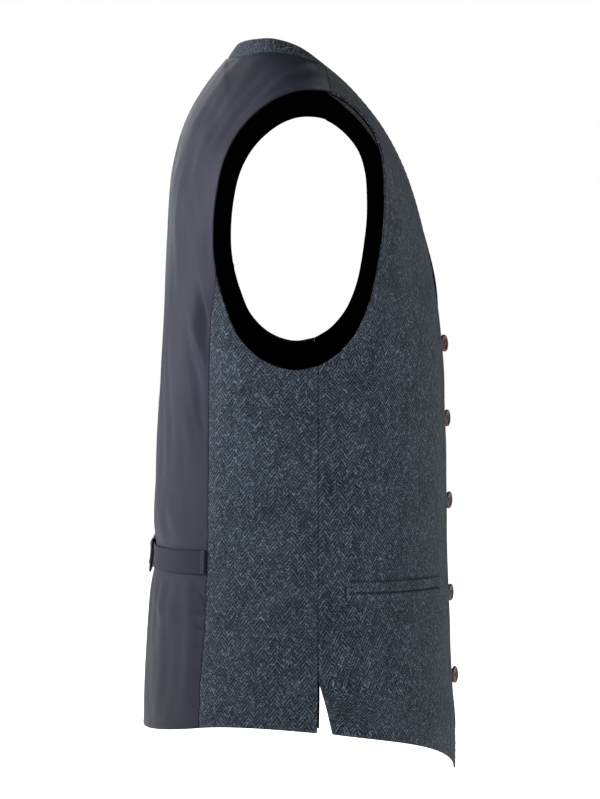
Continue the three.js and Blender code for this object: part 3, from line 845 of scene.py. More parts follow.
def cloth_map(spots: Spots, axis: int, value: float) -> Array:
    """Places on the flat cloth, measured along and across the grain.

    Args:
        spots: The grid.
        axis: The coordinate that is fixed along the grain line: 0 for x, 1 for y.
        value: Its value there.

    Returns:
        Rows by columns by two, in millimetres.
    """
    place = spots.place
    columns = np.arange(place.shape[1])
    order = 1 if place[0, -1, axis] > place[0, 0, axis] else -1
    lines = place[..., axis] * order
    crossing = np.array([np.interp(value * order, line, columns) for line in lines])
    base = np.clip(crossing.astype(int), 0, place.shape[1] - 2)
    part = (crossing - base)[:, None]
    rows = np.arange(len(place))
    line = place[rows, base] * (1 - part) + place[rows, base + 1] * part
    length = travelled(line[:, None], 0)[:, 0]
    grain = unit(np.gradient(line, length, axis=0))[:, None]
    step = np.diff(place, axis=1)
    normal = unit(spots.out[:, 1:] + spots.out[:, :-1])
    along = unit(grain - dot(grain, normal) * normal)
    sideways = np.cross(along, normal)
    pair = np.concatenate([dot(step, sideways), dot(step, along)], -1)
    total = np.concatenate([np.zeros_like(pair[:, :1]), np.cumsum(pair, 1)], 1)
    zero = total[rows, base] * (1 - part) + total[rows, base + 1] * part
    total -= zero[:, None]
    total[..., 1] += (length + line[0, 2])[:, None]
    return total


def shell_faces(rows: int, columns: int) -> list[tuple[int, int, int, int]]:
    """Faces of a closed shell over a grid, whose inner skin shares the outer one's border.

    Args:
        rows: Rows of the outer skin.
        columns: Columns of the outer skin.

    Returns:
        Quads, facing out.
    """
    outer = np.arange(rows * columns).reshape(rows, columns)
    inner = outer.copy()
    core = np.arange((rows - 2) * (columns - 2)).reshape(rows - 2, -1)
    inner[1:-1, 1:-1] = rows * columns + core
    faces = []
    for skin, corners in ((outer, (0, 1, 2, 3)), (inner, (0, 3, 2, 1))):
        around = (skin[:-1, :-1], skin[1:, :-1], skin[1:, 1:], skin[:-1, 1:])
        faces.append(np.stack([around[k] for k in corners], -1).reshape(-1, 4))
    return np.concatenate(faces).tolist()


def link(name: str, mesh: bpy.types.Mesh, finish: "Finish | None" = None) -> bpy.types.Object:
    """Puts a mesh in the scene as an object.

    Args:
        name: The piece's name.
        mesh: Its mesh, in metres.
        finish: Its finish, or None to keep the mesh's own.

    Returns:
        The object.
    """
    piece = bpy.data.objects.new(name, mesh)
    bpy.context.scene.collection.objects.link(piece)
    if finish:
        mesh.materials.clear()
        mesh.materials.append(finish.material())
    return piece


def flat_area(places: Array) -> float:
    """Area of a grid of places, in square metres."""
    step_a, step_b = places[1:, 1:] - places[:-1, :-1], places[1:, :-1] - places[:-1, 1:]
    return float(np.linalg.norm(np.cross(step_a, step_b), axis=-1).sum() / 2) * MM * MM


@dataclass
class Cloth:
    """A piece of cloth of even thickness over a grid of spots, with rolled borders.

    Args:
        name: The piece's name.
        spots: The grid.
        rise: How far its outside stands off the spots.
        thick: Its thickness.
        roll: Width over which its borders roll in.
        grain: Its places on the flat cloth, in millimetres.
        bulge: How far its middle swells on the outside, for a folded strip.
    """

    name: str
    spots: Spots
    rise: Array
    thick: float
    roll: float
    grain: Array
    bulge: Array | float = 0.0

    def build(self, finish: "Finish") -> bpy.types.Object:
        """Makes the piece's object.

        Args:
            finish: Its finish.

        Returns:
            The object, with a "cloth" map in metres and a "rim" attribute, the distance to the nearest
            border in millimetres.
        """
        near = self.spots.nearest
        round_off = np.sqrt(1 - (1 - np.clip(near / self.roll, 0, 1)) ** 2)
        middle, half = self.rise - self.thick / 2, self.thick / 2 * round_off
        outer = self.spots.lifted(middle + half + self.bulge * round_off)
        inner = self.spots.lifted(middle - half)
        rows, columns = near.shape
        core = (slice(1, -1), slice(1, -1))
        places = np.concatenate([outer.reshape(-1, 3), inner[core].reshape(-1, 3)]) * MM
        mesh = bpy.data.meshes.new(self.name)
        mesh.from_pydata(places.tolist(), [], shell_faces(rows, columns))
        grain = np.concatenate([self.grain.reshape(-1, 2), self.grain[core].reshape(-1, 2)]) * MM
        rim = np.concatenate([near.ravel(), near[core].ravel()])
        loops = np.empty(len(mesh.loops), int)
        mesh.loops.foreach_get("vertex_index", loops)
        flat = grain[loops].ravel().astype(np.float32)
        mesh.uv_layers.new(name="cloth").uv.foreach_set("vector", flat)
        mesh.attributes.new("rim", "FLOAT", "POINT").data.foreach_set("value", rim.astype(np.float32))
        mesh.shade_smooth()
        mesh.update()
        return link(self.name + "_cloth", mesh, finish)

    def lay(self, finish: "Finish", slot: str, cut: tuple[float, float], held: str, **more: object) -> None:
        """Args:
            finish: Its finish.
            slot: Its slot.
            cut: Its flat size, in millimetres.
            held: Not used.
        """
        piece = self.build(finish)
        size = (cut[0] * MM, cut[1] * MM)
        area = min(flat_area(self.spots.place), size[0] * size[1])
        settle(piece, slot, self.name)


def settle(piece: bpy.types.Object, slot: str, *nodes: str) -> None:
    """Lets a piece ride on the one body, hides the solids that it stands for, and reports it.

    Args:
        piece: The piece.
        slot: Not used.
        *nodes: The solids that it stands for.
    """
    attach(piece, "root")
    if nodes:
        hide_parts(*nodes)
    LOG.info("%s made", piece.name)


def mesh_of(form: bmesh.types.BMesh, name: str) -> bpy.types.Mesh:
    """Turns a finished form into a named mesh and frees the form."""
    mesh = bpy.data.meshes.new(name)
    form.to_mesh(mesh)
    form.free()
    return mesh


def baked(piece: bpy.types.Object) -> bpy.types.Mesh:
    """A plain mesh of an object with its modifiers applied."""
    depsgraph = bpy.context.evaluated_depsgraph_get()
    return bpy.data.meshes.new_from_object(piece.evaluated_get(depsgraph))


class Signal:
    """One number in a material, with Python's arithmetic."""

    def __init__(self, board: "Board", socket: bpy.types.NodeSocket) -> None:
        """Keeps the board that the socket is on."""
        self.board, self.socket = board, socket

    def __add__(self, other: "Term") -> "Signal":
        """Sum."""
        return self.board.number("ADD", self, other)

    def __sub__(self, other: "Term") -> "Signal":
        """Difference."""
        return self.board.number("SUBTRACT", self, other)

    def __rsub__(self, other: "Term") -> "Signal":
        """Difference, from a plain number."""
        return self.board.number("SUBTRACT", other, self)

    def __mul__(self, other: "Term") -> "Signal":
        """Product."""
        return self.board.number("MULTIPLY", self, other)

    def __truediv__(self, other: "Term") -> "Signal":
        """Quotient."""
        return self.board.number("DIVIDE", self, other)

    __radd__ = __add__
    __rmul__ = __mul__


Term = Signal | float
Colour = tuple[float, float, float]


class Nodes:
    """A node tree that takes nodes by type.

    Args:
        tree: The tree.
    """

    def __init__(self, tree: bpy.types.NodeTree) -> None:
        """Keeps the tree."""
        self.tree = tree

    def node(self, kind: str, settings: dict | None = None, inputs: dict | None = None) -> bpy.types.Node:
        """Adds a node.

        Args:
            kind: The node's type.
            settings: Its properties, set first.
            inputs: A value, signal or socket for each input, by name or number.

        Returns:
            The node.
        """
        made = self.tree.nodes.new(kind)
        for name, value in (settings or {}).items():
            setattr(made, name, value)
        for key, value in (inputs or {}).items():
            self.feed(made.inputs[key], value)
        return made

    def made(
        self, kind: str, inputs: dict | None = None, output: str | int = 0, **settings: object
    ) -> bpy.types.NodeSocket:
        """Adds a node as node does, and gives one of its outputs."""
        return self.node(kind, settings, inputs).outputs[output]

    def feed(self, socket: bpy.types.NodeSocket, value: object) -> None:
        """Links a signal or socket to an input, or sets its value.

        Args:
            socket: The input.
            value: A signal, a socket or a plain value.
        """
        source = value.socket if isinstance(value, Signal) else value
        if isinstance(source, bpy.types.NodeSocket):
            self.tree.links.new(source, socket)
        elif isinstance(source, tuple) and len(source) == 3 and socket.type == "RGBA":
            socket.default_value = (*source, 1.0)
        else:
            socket.default_value = source


class Board(Nodes):
    """The node board of one material, with a Principled shader.

    Args:
        name: The material's name.
    """

    def __init__(self, name: str) -> None:
        """Makes the material and its shader."""
        self.material = bpy.data.materials.new(name)
        self.material.use_nodes = True
        super().__init__(self.material.node_tree)
        self.tree.nodes.clear()
        self.shader = self.node("ShaderNodeBsdfPrincipled")
        self.node("ShaderNodeOutputMaterial", None, {"Surface": self.shader.outputs[0]})

    def signal(
        self, kind: str, inputs: dict | None = None, output: str | int = 0, **settings: object
    ) -> Signal:
        """Adds a node and gives one of its outputs as a signal."""
        return Signal(self, self.made(kind, inputs, output, **settings))

    def number(self, operation: str, *terms: Term) -> Signal:
        """Adds a Math node on signals or plain numbers."""
        return self.signal("ShaderNodeMath", dict(enumerate(terms)), operation=operation)

    def wave(self, angle: Term) -> Signal:
        """A sine from 0 to 1."""
        return self.number("SINE", angle) * 0.5 + 0.5

    def step(self, value: Term, low: float, high: float) -> Signal:
        """Smooth step of a signal from 0 at low to 1 at high."""
        inputs = {"Value": value, "From Min": low, "From Max": high}
        return self.signal("ShaderNodeMapRange", inputs, interpolation_type="SMOOTHSTEP")

    def mix(self, share: Term, first: object, second: object) -> bpy.types.NodeSocket:
        """Mixes two colours."""
        return self.made("ShaderNodeMix", {0: share, 6: first, 7: second}, 2, data_type="RGBA")

    def place(self) -> bpy.types.NodeSocket:
        """The surface's own place in the part, in metres."""
        return self.made("ShaderNodeTexCoord", None, "Object")

    def flat(self) -> bpy.types.NodeSocket:
        """The place on the flat cloth, in metres."""
        return self.made("ShaderNodeUVMap", uv_map="cloth")

    def grain(self, flat: bpy.types.NodeSocket) -> tuple[Signal, Signal]:
        """Distances across and along the grain, in millimetres."""
        split = self.node("ShaderNodeSeparateXYZ", None, {0: flat})
        return Signal(self, split.outputs[0]) * 1000, Signal(self, split.outputs[1]) * 1000

    def stretched(self, vector: bpy.types.NodeSocket, scale: Colour) -> bpy.types.NodeSocket:
        """A place scaled along each axis."""
        return self.made("ShaderNodeMapping", {"Vector": vector, "Scale": scale})

    def noise(self, vector: bpy.types.NodeSocket, scale: float, detail: float = 2.0) -> Signal:
        """Smooth noise from 0 to 1, scale times a metre."""
        inputs = {"Vector": vector, "Scale": scale, "Detail": detail, "Roughness": 0.55}
        return self.signal("ShaderNodeTexNoise", inputs, noise_dimensions="3D")

    def chance(self, first: Term, second: Term) -> Signal:
        """A number from 0 to 1 that is the same wherever both whole numbers are."""
        pair = self.made("ShaderNodeCombineXYZ", {0: first, 1: second})
        return self.signal("ShaderNodeTexWhiteNoise", {"Vector": pair}, "Value", noise_dimensions="2D")

    def rim(self) -> Signal:
        """Distance to the piece's nearest border, in millimetres."""
        return self.signal("ShaderNodeAttribute", None, "Fac", attribute_name="rim")

    def bump(self, height: Term, depth: float, strength: float) -> None:
        """Feeds a height, of a depth in metres, to the shader's normal."""
        inputs = {"Height": height, "Distance": depth, "Strength": strength}
        self.dress(Normal=self.made("ShaderNodeBump", inputs))

    def dress(self, **inputs: object) -> None:
        """Sets the shader's sockets, named with _ for each space."""
        for name, value in inputs.items():
            self.feed(self.shader.inputs[name.replace("_", " ")], value)


class Finish:
    """A finish, whose material is made once."""

    made: dict[str, bpy.types.Material] = {}

    def material(self) -> bpy.types.Material:
        """The finish's material."""
        key = repr(self)
        if key not in Finish.made:
            board = Board(type(self).__name__.lower())
            self.paint(board)
            Finish.made[key] = board.material
        return Finish.made[key]

    def paint(self, board: Board) -> None:
        """Draws the finish on a board."""
        raise NotImplementedError


@dataclass(frozen=True)
class HerringboneTweed(Finish):
    """Wool herringbone: light blue-grey yarn on dark navy.

    Args:
        dark: Colour of the ground.
        light: Colour of the light yarn.
        fleck: Colour of the brightest slubs.
        leg: Width of one leg of the herringbone, in millimetres.
        pitch: Distance from line to line, upwards.
        slope: How steeply the lines climb.
    """

    dark: Colour = (0.0028, 0.0043, 0.0066)
    light: Colour = (0.050, 0.065, 0.087)
    fleck: Colour = (0.130, 0.158, 0.188)
    leg: float = 5.8
    pitch: float = 3.6
    slope: float = 1.3

    def paint(self, board: Board) -> None:
        """Draws the weave on a board."""
        flat = board.flat()
        across, along = board.grain(flat)
        drift = board.noise(flat, 160, 1) - 0.5
        shake = board.noise(flat, 900, 1) - 0.5
        across = across + drift * 1.4 + shake * 0.8
        along = along + drift * 2.6 + shake * 1.8
        stripe = board.number("FLOOR", across / self.leg)
        odd = board.number("FLOORED_MODULO", stripe, 2.0)
        zigzag = board.number("PINGPONG", across, self.leg)
        phase = (along + zigzag * self.slope) / self.pitch + odd * 0.5
        line = board.wave(phase * (2 * math.pi))
        ply = board.wave(phase * (4 * math.pi) + 0.9)
        yarn = board.chance(board.number("FLOOR", phase), stripe)
        broken = board.step(board.noise(flat, 300, 2), 0.36, 0.62)
        cloudy = board.noise(flat, 36, 2)
        speck = board.step(board.noise(flat, 820, 2), 0.26, 0.74)
        light = board.step(line * 0.85 + ply * 0.15, 0.15, 0.85) * (0.45 + yarn * 0.45)
        share = light * (0.45 + broken * 0.55) + (speck - 0.5) * 0.6 + (cloudy - 0.5) * 0.4
        share = board.number("MAXIMUM", board.number("MINIMUM", share, 1.0), 0.0)
        slub = board.step(speck * 0.6 + broken * 0.25 + yarn * 0.15, 0.70, 0.92)
        edge = board.rim()
        # Painted shade: within about a millimetre of every border the colour darkens towards near black,
        # the shadow line along seams, edges, hem and pocket jets.
        edge_shade = 1 - board.step(edge, 0.1, 1.1)
        # Painted sheen: a lighter band from about 1 to 3 mm inside each border, where the rolled edge
        # catches the light.
        wear_and_sheen = board.step(edge, 0.8, 1.4) * (1 - board.step(edge, 1.6, 3.2))
        ground = board.mix(share + wear_and_sheen * 0.06, self.dark, self.light)
        wool = board.mix(slub * 0.6, ground, self.fleck)
        board.dress(
            # Painted shade: near-black colour mixed in along the borders.
            Base_Color=board.mix(edge_shade * 0.5, wool, (0.004, 0.005, 0.007)),
            Roughness=0.86 - share * 0.1,
            Specular_IOR_Level=0.08,
            Sheen_Weight=0.03,
            Sheen_Roughness=0.5,
        )
        board.bump(line * 0.7 + speck * 0.5 + broken * 0.2, 0.00035, 0.8)


@dataclass(frozen=True)
class Satin(Finish):
    """Slate-grey satin, nearly matt, with faint lines along the grain.

    Args:
        colour: The cloth's colour.
        deep: Its colour where it looks darker.
        roughness: How matt it is.
    """

    colour: Colour = (0.0175, 0.0188, 0.0275)
    deep: Colour = (0.0132, 0.0142, 0.0208)
    roughness: float = 0.46

    def paint(self, board: Board) -> None:
        """Draws the satin on a board."""
        flat = board.flat()
        streak = board.noise(board.stretched(flat, (1.0, 0.05, 1.0)), 520, 3)
        cloudy = board.noise(board.stretched(flat, (1.0, 0.4, 1.0)), 28, 2)
        across, along = board.grain(flat)
        twill = board.wave((across + along * 0.6) * (2 * math.pi / 0.55))
        # Painted shade: within about a millimetre of each border the satin darkens towards near black, the
        # shadow line along its seams and the strap's edges.
        edge_shade = 1 - board.step(board.rim(), 0.2, 1.2)
        shade = board.number("MINIMUM", streak * 0.5 + cloudy * 0.5, 1.0)
        cloth = board.mix(board.step(shade, 0.3, 0.7), self.deep, self.colour)
        board.dress(
            # Painted shade: near-black colour mixed in along the borders.
            Base_Color=board.mix(edge_shade * 0.5, cloth, (0.005, 0.0055, 0.008)),
            Roughness=self.roughness + (streak - 0.5) * 0.12,
            Specular_IOR_Level=0.022,
        )
        board.bump(streak * 0.5 + cloudy * 1.2 + twill * 0.12, 0.0004, 0.5)


@dataclass(frozen=True)
class LiningCloth(Finish):
    """Plain black lining, fine and nearly matt, coloured far darker than real black cloth so that it also
    paints the deep shade inside the garment.

    Args:
        colour: The cloth's colour: black, darkened further with painted shade.
    """

    colour: Colour = (0.0005, 0.0005, 0.0006)

    def paint(self, board: Board) -> None:
        """Draws the lining on a board."""
        flat = board.flat()
        streak = board.noise(board.stretched(flat, (1.0, 0.06, 1.0)), 600, 2)
        shade = board.mix(streak, self.colour, (0.0009, 0.0009, 0.0010))
        board.dress(Base_Color=shade, Roughness=0.7 + streak * 0.12, Specular_IOR_Level=0.0)
        board.bump(streak, 0.0002, 0.4)


@dataclass(frozen=True)
class Horn(Finish):
    """Polished horn, dark reddish brown with paler clouds.

    Args:
        dark: Its main colour.
        light: Colour of its clouds.
    """

    dark: Colour = (0.020, 0.0060, 0.0054)
    light: Colour = (0.080, 0.026, 0.021)

    def paint(self, board: Board) -> None:
        """Draws the horn on a board."""
        place = board.stretched(board.place(), (1.0, 1.0, 2.2))
        cloud = board.noise(place, 190, 4)
        grain = board.noise(board.stretched(board.place(), (1.0, 1.0, 6.0)), 900, 2)
        share = board.step(cloud * 0.8 + grain * 0.2, 0.40, 0.72)
        board.dress(
            Base_Color=board.mix(share, self.dark, self.light),
            Roughness=0.34 + grain * 0.14,
            Specular_IOR_Level=0.25,
            Coat_Weight=0.08,
            Coat_Roughness=0.15,
        )
        board.bump(grain, 0.0001, 0.3)


@dataclass(frozen=True)
class DarkEnamel(Finish):
    """Dark enamel over metal, with a little wear.

    Args:
        colour: The enamel's colour.
        wear_and_sheen: Its colour where it has rubbed.
    """

    colour: Colour = (0.020, 0.020, 0.023)
    wear_and_sheen: Colour = (0.070, 0.068, 0.068)

    def paint(self, board: Board) -> None:
        """Draws the enamel on a board."""
        mottle = board.noise(board.place(), 700, 4)
        rub = board.step(mottle, 0.55, 0.72)
        board.dress(
            Base_Color=board.mix(rub, self.colour, self.wear_and_sheen),
            Roughness=0.30 + mottle * 0.2,
            Metallic=0.35 + rub * 0.4,
            Coat_Weight=0.25,
            Coat_Roughness=0.2,
        )
        board.bump(mottle, 0.0001, 0.3)


@dataclass(frozen=True)
class Thread(Finish):
    """Twisted sewing thread.

    Args:
        colour: The thread's colour.
        light: Its colour on the turns of the twist.
    """

    colour: Colour = (0.022, 0.026, 0.036)
    light: Colour = (0.060, 0.068, 0.085)

    def paint(self, board: Board) -> None:
        """Draws the thread on a board."""
        twist = board.noise(board.place(), 2600, 1)
        shade = board.mix(board.step(twist, 0.4, 0.65), self.colour, self.light)
        board.dress(Base_Color=shade, Roughness=0.55 + twist * 0.2, Specular_IOR_Level=0.35)
        board.bump(twist, 0.0001, 0.5)


@dataclass(frozen=True)
class PaleFloor(Finish):
    """A plain pale studio floor.

    Args:
        colour: Its colour.
    """

    colour: Colour = (0.90, 0.90, 0.90)

    def paint(self, board: Board) -> None:
        """Draws the floor on a board."""
        mottle = board.noise(board.place(), 3, 2)
        board.dress(
            Base_Color=board.mix(mottle, self.colour, (0.93, 0.93, 0.93)),
            Roughness=0.8,
            Specular_IOR_Level=0.1,
            Emission_Color=(1.0, 1.0, 1.0, 1.0),
            Emission_Strength=0.9,
        )


WOOL = HerringboneTweed()
GREY_SATIN = Satin()
STRAP_SATIN = Satin((0.0125, 0.0137, 0.0215), (0.0096, 0.0105, 0.0165), 0.5)
# Black lining whose near-zero colour also paints the shade inside the garment.
BLACK_LINING_AND_SHADE = LiningCloth()
WOOL_THREAD = Thread()
SATIN_THREAD = Thread((0.035, 0.042, 0.055), (0.070, 0.082, 0.105))
HOLE_THREAD = Thread((0.012, 0.014, 0.02), (0.035, 0.04, 0.052))


@dataclass
class Fronts:
    """The two tweed fronts, the left one lapped over the right one."""

    columns: int = 84
    span_rows: tuple[int, int] = (150, 70)
    roll: float = 0.9
    cut: tuple[float, float] = (215.0, 625.0)
    grain_y: float = -112.0
    waves: Unevenness = Unevenness(0.35, 130, 90, 5)
    slit_depth: float = 0.7
    slit_half: float = 2.2

    def build(self) -> None:
        """Makes both fronts."""
        grid = FRONT.grid(self.columns, self.span_rows, Gaps(end=HALF_GAP, top=HALF_GAP), self.roll)
        grain, dip = cloth_map(grid, 1, self.grain_y), self.slit_dip(grid)
        for side in Side:
            spots = side.turned(grid)
            off = spots.from_end if side is Side.RIGHT else spots.from_start
            rise = front_rise(side, spots, off) + self.waves.rise(spots) * self.calm(spots)
            rise = rise - side.flipped(dip)
            cloth = Cloth("front_" + side.value, spots, rise, TWEED, self.roll, side.mapped(grain))
            cloth.lay(WOOL, "tweed", self.cut, "hung")

    def calm(self, spots: Spots) -> Array:
        """Share of the unevenness that is left near the closure, where two fronts lie together."""
        return smoothstep(np.abs(spots.y), 16, 45)

    def slit_dip(self, grid: Spots) -> Array:
        """How far the right front sinks under the mouth of its pocket."""
        along = (grid.x - POCKET_BACK_X) / (POCKET_FRONT_X - POCKET_BACK_X)
        ends = smoothstep(along, 0.0, 0.04) * (1 - smoothstep(along, 0.96, 1.0))
        return self.slit_depth * bell((grid.z - pocket_line(along)) / self.slit_half) * ends


@dataclass
class SideBodies:
    """The tweed side bodies between the fronts and the back."""

    columns: int = 38
    rows: int = 140
    roll: float = 0.6
    cut: tuple[float, float] = (105.0, 300.0)
    grain_x: float = -30.0
    waves: Unevenness = Unevenness(0.4, 110, 90, 9)

    def build(self) -> None:
        """Makes both side bodies."""
        grid = SIDE_BODY.grid(self.columns, (self.rows,), Gaps(HALF_GAP, HALF_GAP), self.roll)
        grain = cloth_map(grid, 0, self.grain_x)
        for side in Side:
            spots = side.turned(grid)
            off = spots.from_end if side is Side.RIGHT else spots.from_start
            near = np.minimum(spots.from_start, spots.from_end)
            drag = crease_rise(TWEED_CREASES, spots, near) * side.fold_share
            pull = pucker_rise(spots, off / TWEED_PUCKER_SHARE)
            rise = drag + pull + self.waves.rise(spots)
            cloth = Cloth("side_body_" + side.value, spots, rise, TWEED, self.roll, side.mapped(grain))
            cloth.lay(WOOL, "tweed", self.cut, "hung")


@dataclass
class Backs:
    """The two satin halves of the back."""

    columns: int = 62
    span_rows: tuple[int, int, int] = (250, 56, 30)
    roll: float = 0.9
    cut: tuple[float, float] = (200.0, 605.0)
    grain_y: float = -70.0
    waves: tuple[Unevenness, ...] = (Unevenness(0.5, 60, 260, 21), Unevenness(0.3, 30, 150, 33))

    def build(self) -> None:
        """Makes both halves of the back."""
        gaps = Gaps(HALF_GAP, HALF_GAP, 0, HALF_GAP)
        grid = BACK.grid(self.columns, self.span_rows, gaps, self.roll)
        grain = cloth_map(grid, 1, self.grain_y)
        for side in Side:
            spots = side.turned(grid)
            off = spots.from_start if side is Side.RIGHT else spots.from_end
            waves = sum(wave.rise(spots) for wave in self.waves)
            rise = back_rise(side, spots) + pucker_rise(spots, off) + waves * self.calm(spots)
            cloth = Cloth("back_" + side.value, spots, rise, SATIN, self.roll, side.mapped(grain))
            cloth.lay(GREY_SATIN, "satin", self.cut, "hung")

    def calm(self, spots: Spots) -> Array:
        """Share of the waves that is left under the strap."""
        return smoothstep(np.abs(spots.z - strap_line(spots.across)), 10, 28)


@dataclass
class Linings:
    """The black lining inside each panel, caught to the cloth at the garment's free edges."""

    roll: float = 0.5
    hem_reach: float = 10.0
    caught: float = 0.15
    under: float = 1.5
    front_armhole_z: float = -231.0
    back_armhole_z: float = -163.0
    far: float = 99.0
    grain_x: float = -30.0
    grain_y: float = -100.0

    def build(self) -> None:
        """Makes the six pieces of lining."""
        inset, under = LINING_INSET, self.under
        over = 2 * HALF_GAP - under
        front = FRONT.grid(34, (60, 44), Gaps(0, under, inset, under), self.roll, 0.2)
        side_body = SIDE_BODY.grid(20, (56,), Gaps(over, over, inset, inset), self.roll)
        back = BACK.grid(30, (72, 26, 16), Gaps(under, 0.0, inset, over), self.roll)
        armhole = np.where(front.z > self.front_armhole_z, front.from_end, self.far)
        free = np.minimum(np.minimum(front.from_start, front.from_foot), armhole)
        self.lay("front", front, cloth_map(front, 1, self.grain_y), free, TWEED, (170.0, 600.0))
        free = np.minimum(side_body.from_foot, side_body.from_top)
        grain = cloth_map(side_body, 0, self.grain_x)
        self.lay("side_body", side_body, grain, free, TWEED, (105.0, 292.0))
        armhole = np.where(back.z > self.back_armhole_z, back.from_start, self.far)
        free = np.minimum(back.from_foot, armhole)
        self.lay("back", back, cloth_map(back, 1, self.grain_y), free, SATIN, (200.0, 600.0))

    def lay(
        self, name: str, grid: Spots, grain: Array, free: Array, cover: float, cut: tuple[float, float]
    ) -> None:
        """Lays a lining inside both sides' panels.

        Args:
            name: The panel's name.
            grid: The lining's grid on the right side.
            grain: Its places on the flat cloth.
            free: Distance from its free edges.
            cover: Thickness of the cloth outside it.
            cut: Its flat size.
        """
        depth = lerp(cover + self.caught, LINING_DEPTH, smoothstep(free, 0, self.hem_reach))
        for side in Side:
            spots = side.turned(grid)
            rise = self.follow(name, side, spots) - side.flipped(depth)
            label = "lining_%s_%s" % (name, side.value)
            cloth = Cloth(label, spots, rise, LINING, self.roll, side.mapped(grain))
            cloth.lay(BLACK_LINING_AND_SHADE, "lining", cut, "hung")

    def follow(self, name: str, side: Side, spots: Spots) -> Array | float:
        """How far the panel outside the lining stands off."""
        if name == "front":
            return np.minimum(front_rise(side, spots), 0.0)
        return np.minimum(back_rise(side, spots), 0.0) if name == "back" else 0.0


@dataclass
class NeckBand:
    """The tweed band round the back of the neck."""

    columns: int = 70
    rows: int = 8
    roll: float = 0.9
    swell: float = 0.5
    cut: tuple[float, float] = (250.0, 19.0)

    def build(self) -> None:
        """Makes the band."""
        seam = Edge(CENTRE_BACK[CENTRE_NECK:], (0, len(CENTRE_BACK) - 2 - CENTRE_NECK))
        edge = Edge(NECK_EDGE, (0, len(NECK_EDGE) - 1))
        share = np.linspace(1, 0, self.columns // 2 + 1)
        low, high = seam.at(0, share)[:, :3], edge.at(0, share)[:, :3]
        low, high = (np.concatenate([line, line[-2::-1] * MIRROR]) for line in (low, high))
        rim = RIM_STEPS * self.roll
        low, high = (self.with_rims(line, rim) for line in (low, high))
        wide = np.linalg.norm(high - low, axis=1).mean()
        rise = spaced((HALF_GAP * 2 + rim) / wide, (wide - rim[::-1]) / wide, self.rows)
        place = low + (high - low) * rise[:, None, None]
        around, up = np.gradient(place, axis=1), high - low
        out = unit(np.cross(np.broadcast_to(up, place.shape), around))
        spots = Spots(place, out, np.broadcast_to(np.linspace(0, 1, place.shape[1]), place.shape[:2]))
        grain = np.stack([spots.from_start - spots.from_start[:, -1:] / 2, spots.from_foot], -1)
        swell = self.swell * np.sin(np.pi * rise)[:, None] * np.ones(spots.across.shape)
        cloth = Cloth("neck_band", spots, swell * 0, TWEED, self.roll, grain, swell)
        cloth.lay(WOOL, "tweed", self.cut, "stretched", rests_on=["back_right", "back_left"])

    def with_rims(self, line: Array, rim: Array) -> Array:
        """Puts closer places along a line's ends."""
        along = travelled(line[:, None], 0)[:, 0]
        ends = HALF_GAP + rim
        wanted = spaced(ends, along[-1] - ends[::-1], self.columns)
        return np.stack([np.interp(wanted, along, line[:, k]) for k in range(3)], -1)


@dataclass
class PocketJets:
    """The two jets of each waist pocket, strips laid along the front."""

    columns: int = 60
    rows: int = 6
    roll: float = 1.0
    length: float = 118.0
    turned_in: float = 3.2
    swell: float = 0.35

    def build(self) -> None:
        """Makes the four jets."""
        back = FRONT.share_where(0, POCKET_BACK_X, lambda _: pocket_line(0.0))
        front = FRONT.share_where(0, POCKET_FRONT_X, lambda _: pocket_line(1.0))
        for name, height in POCKET_BAR.items():
            low = POCKET_SLIT / 2 if name == "upper" else -POCKET_SLIT / 2 - height
            spots = self.strip(back, front, low, height)
            grain = cloth_map(spots, 1, Fronts.grain_y)
            tall = spots.from_foot[-1:]
            swell = self.swell * np.sin(np.pi * np.clip(spots.from_foot / tall, 0, 1))
            for side in Side:
                turned, label = side.turned(spots), "pocket_jet_%s_%s" % (name, side.value)
                rise = front_rise(side, turned) + LAY_GAP + JET_THICK
                grain_here, bulge = side.mapped(grain), side.flipped(swell)
                cloth = Cloth(label, turned, rise, JET_THICK, self.roll, grain_here, bulge)
                cut = (self.length, height + self.turned_in)
                cloth.lay(WOOL, "tweed", cut, "laid", rests_on=["front_" + side.value])

    def strip(self, back: float, front: float, low: float, height: float) -> Spots:
        """Spots of a strip along the pocket's line.

        Args:
            back: Share across the front at the pocket's back end.
            front: Share at its front end.
            low: How far the strip's foot is above the line.
            height: The strip's height.

        Returns:
            The spots.
        """
        rim = RIM_STEPS * self.roll
        along = spaced(1 - rim / self.length, rim[::-1] / self.length, self.columns)
        up = spaced(rim, height - rim[::-1], self.rows)
        z = pocket_line(along)[None] + low + up[:, None]
        return FRONT.at_height(np.broadcast_to(lerp(back, front, along)[None], z.shape), z)


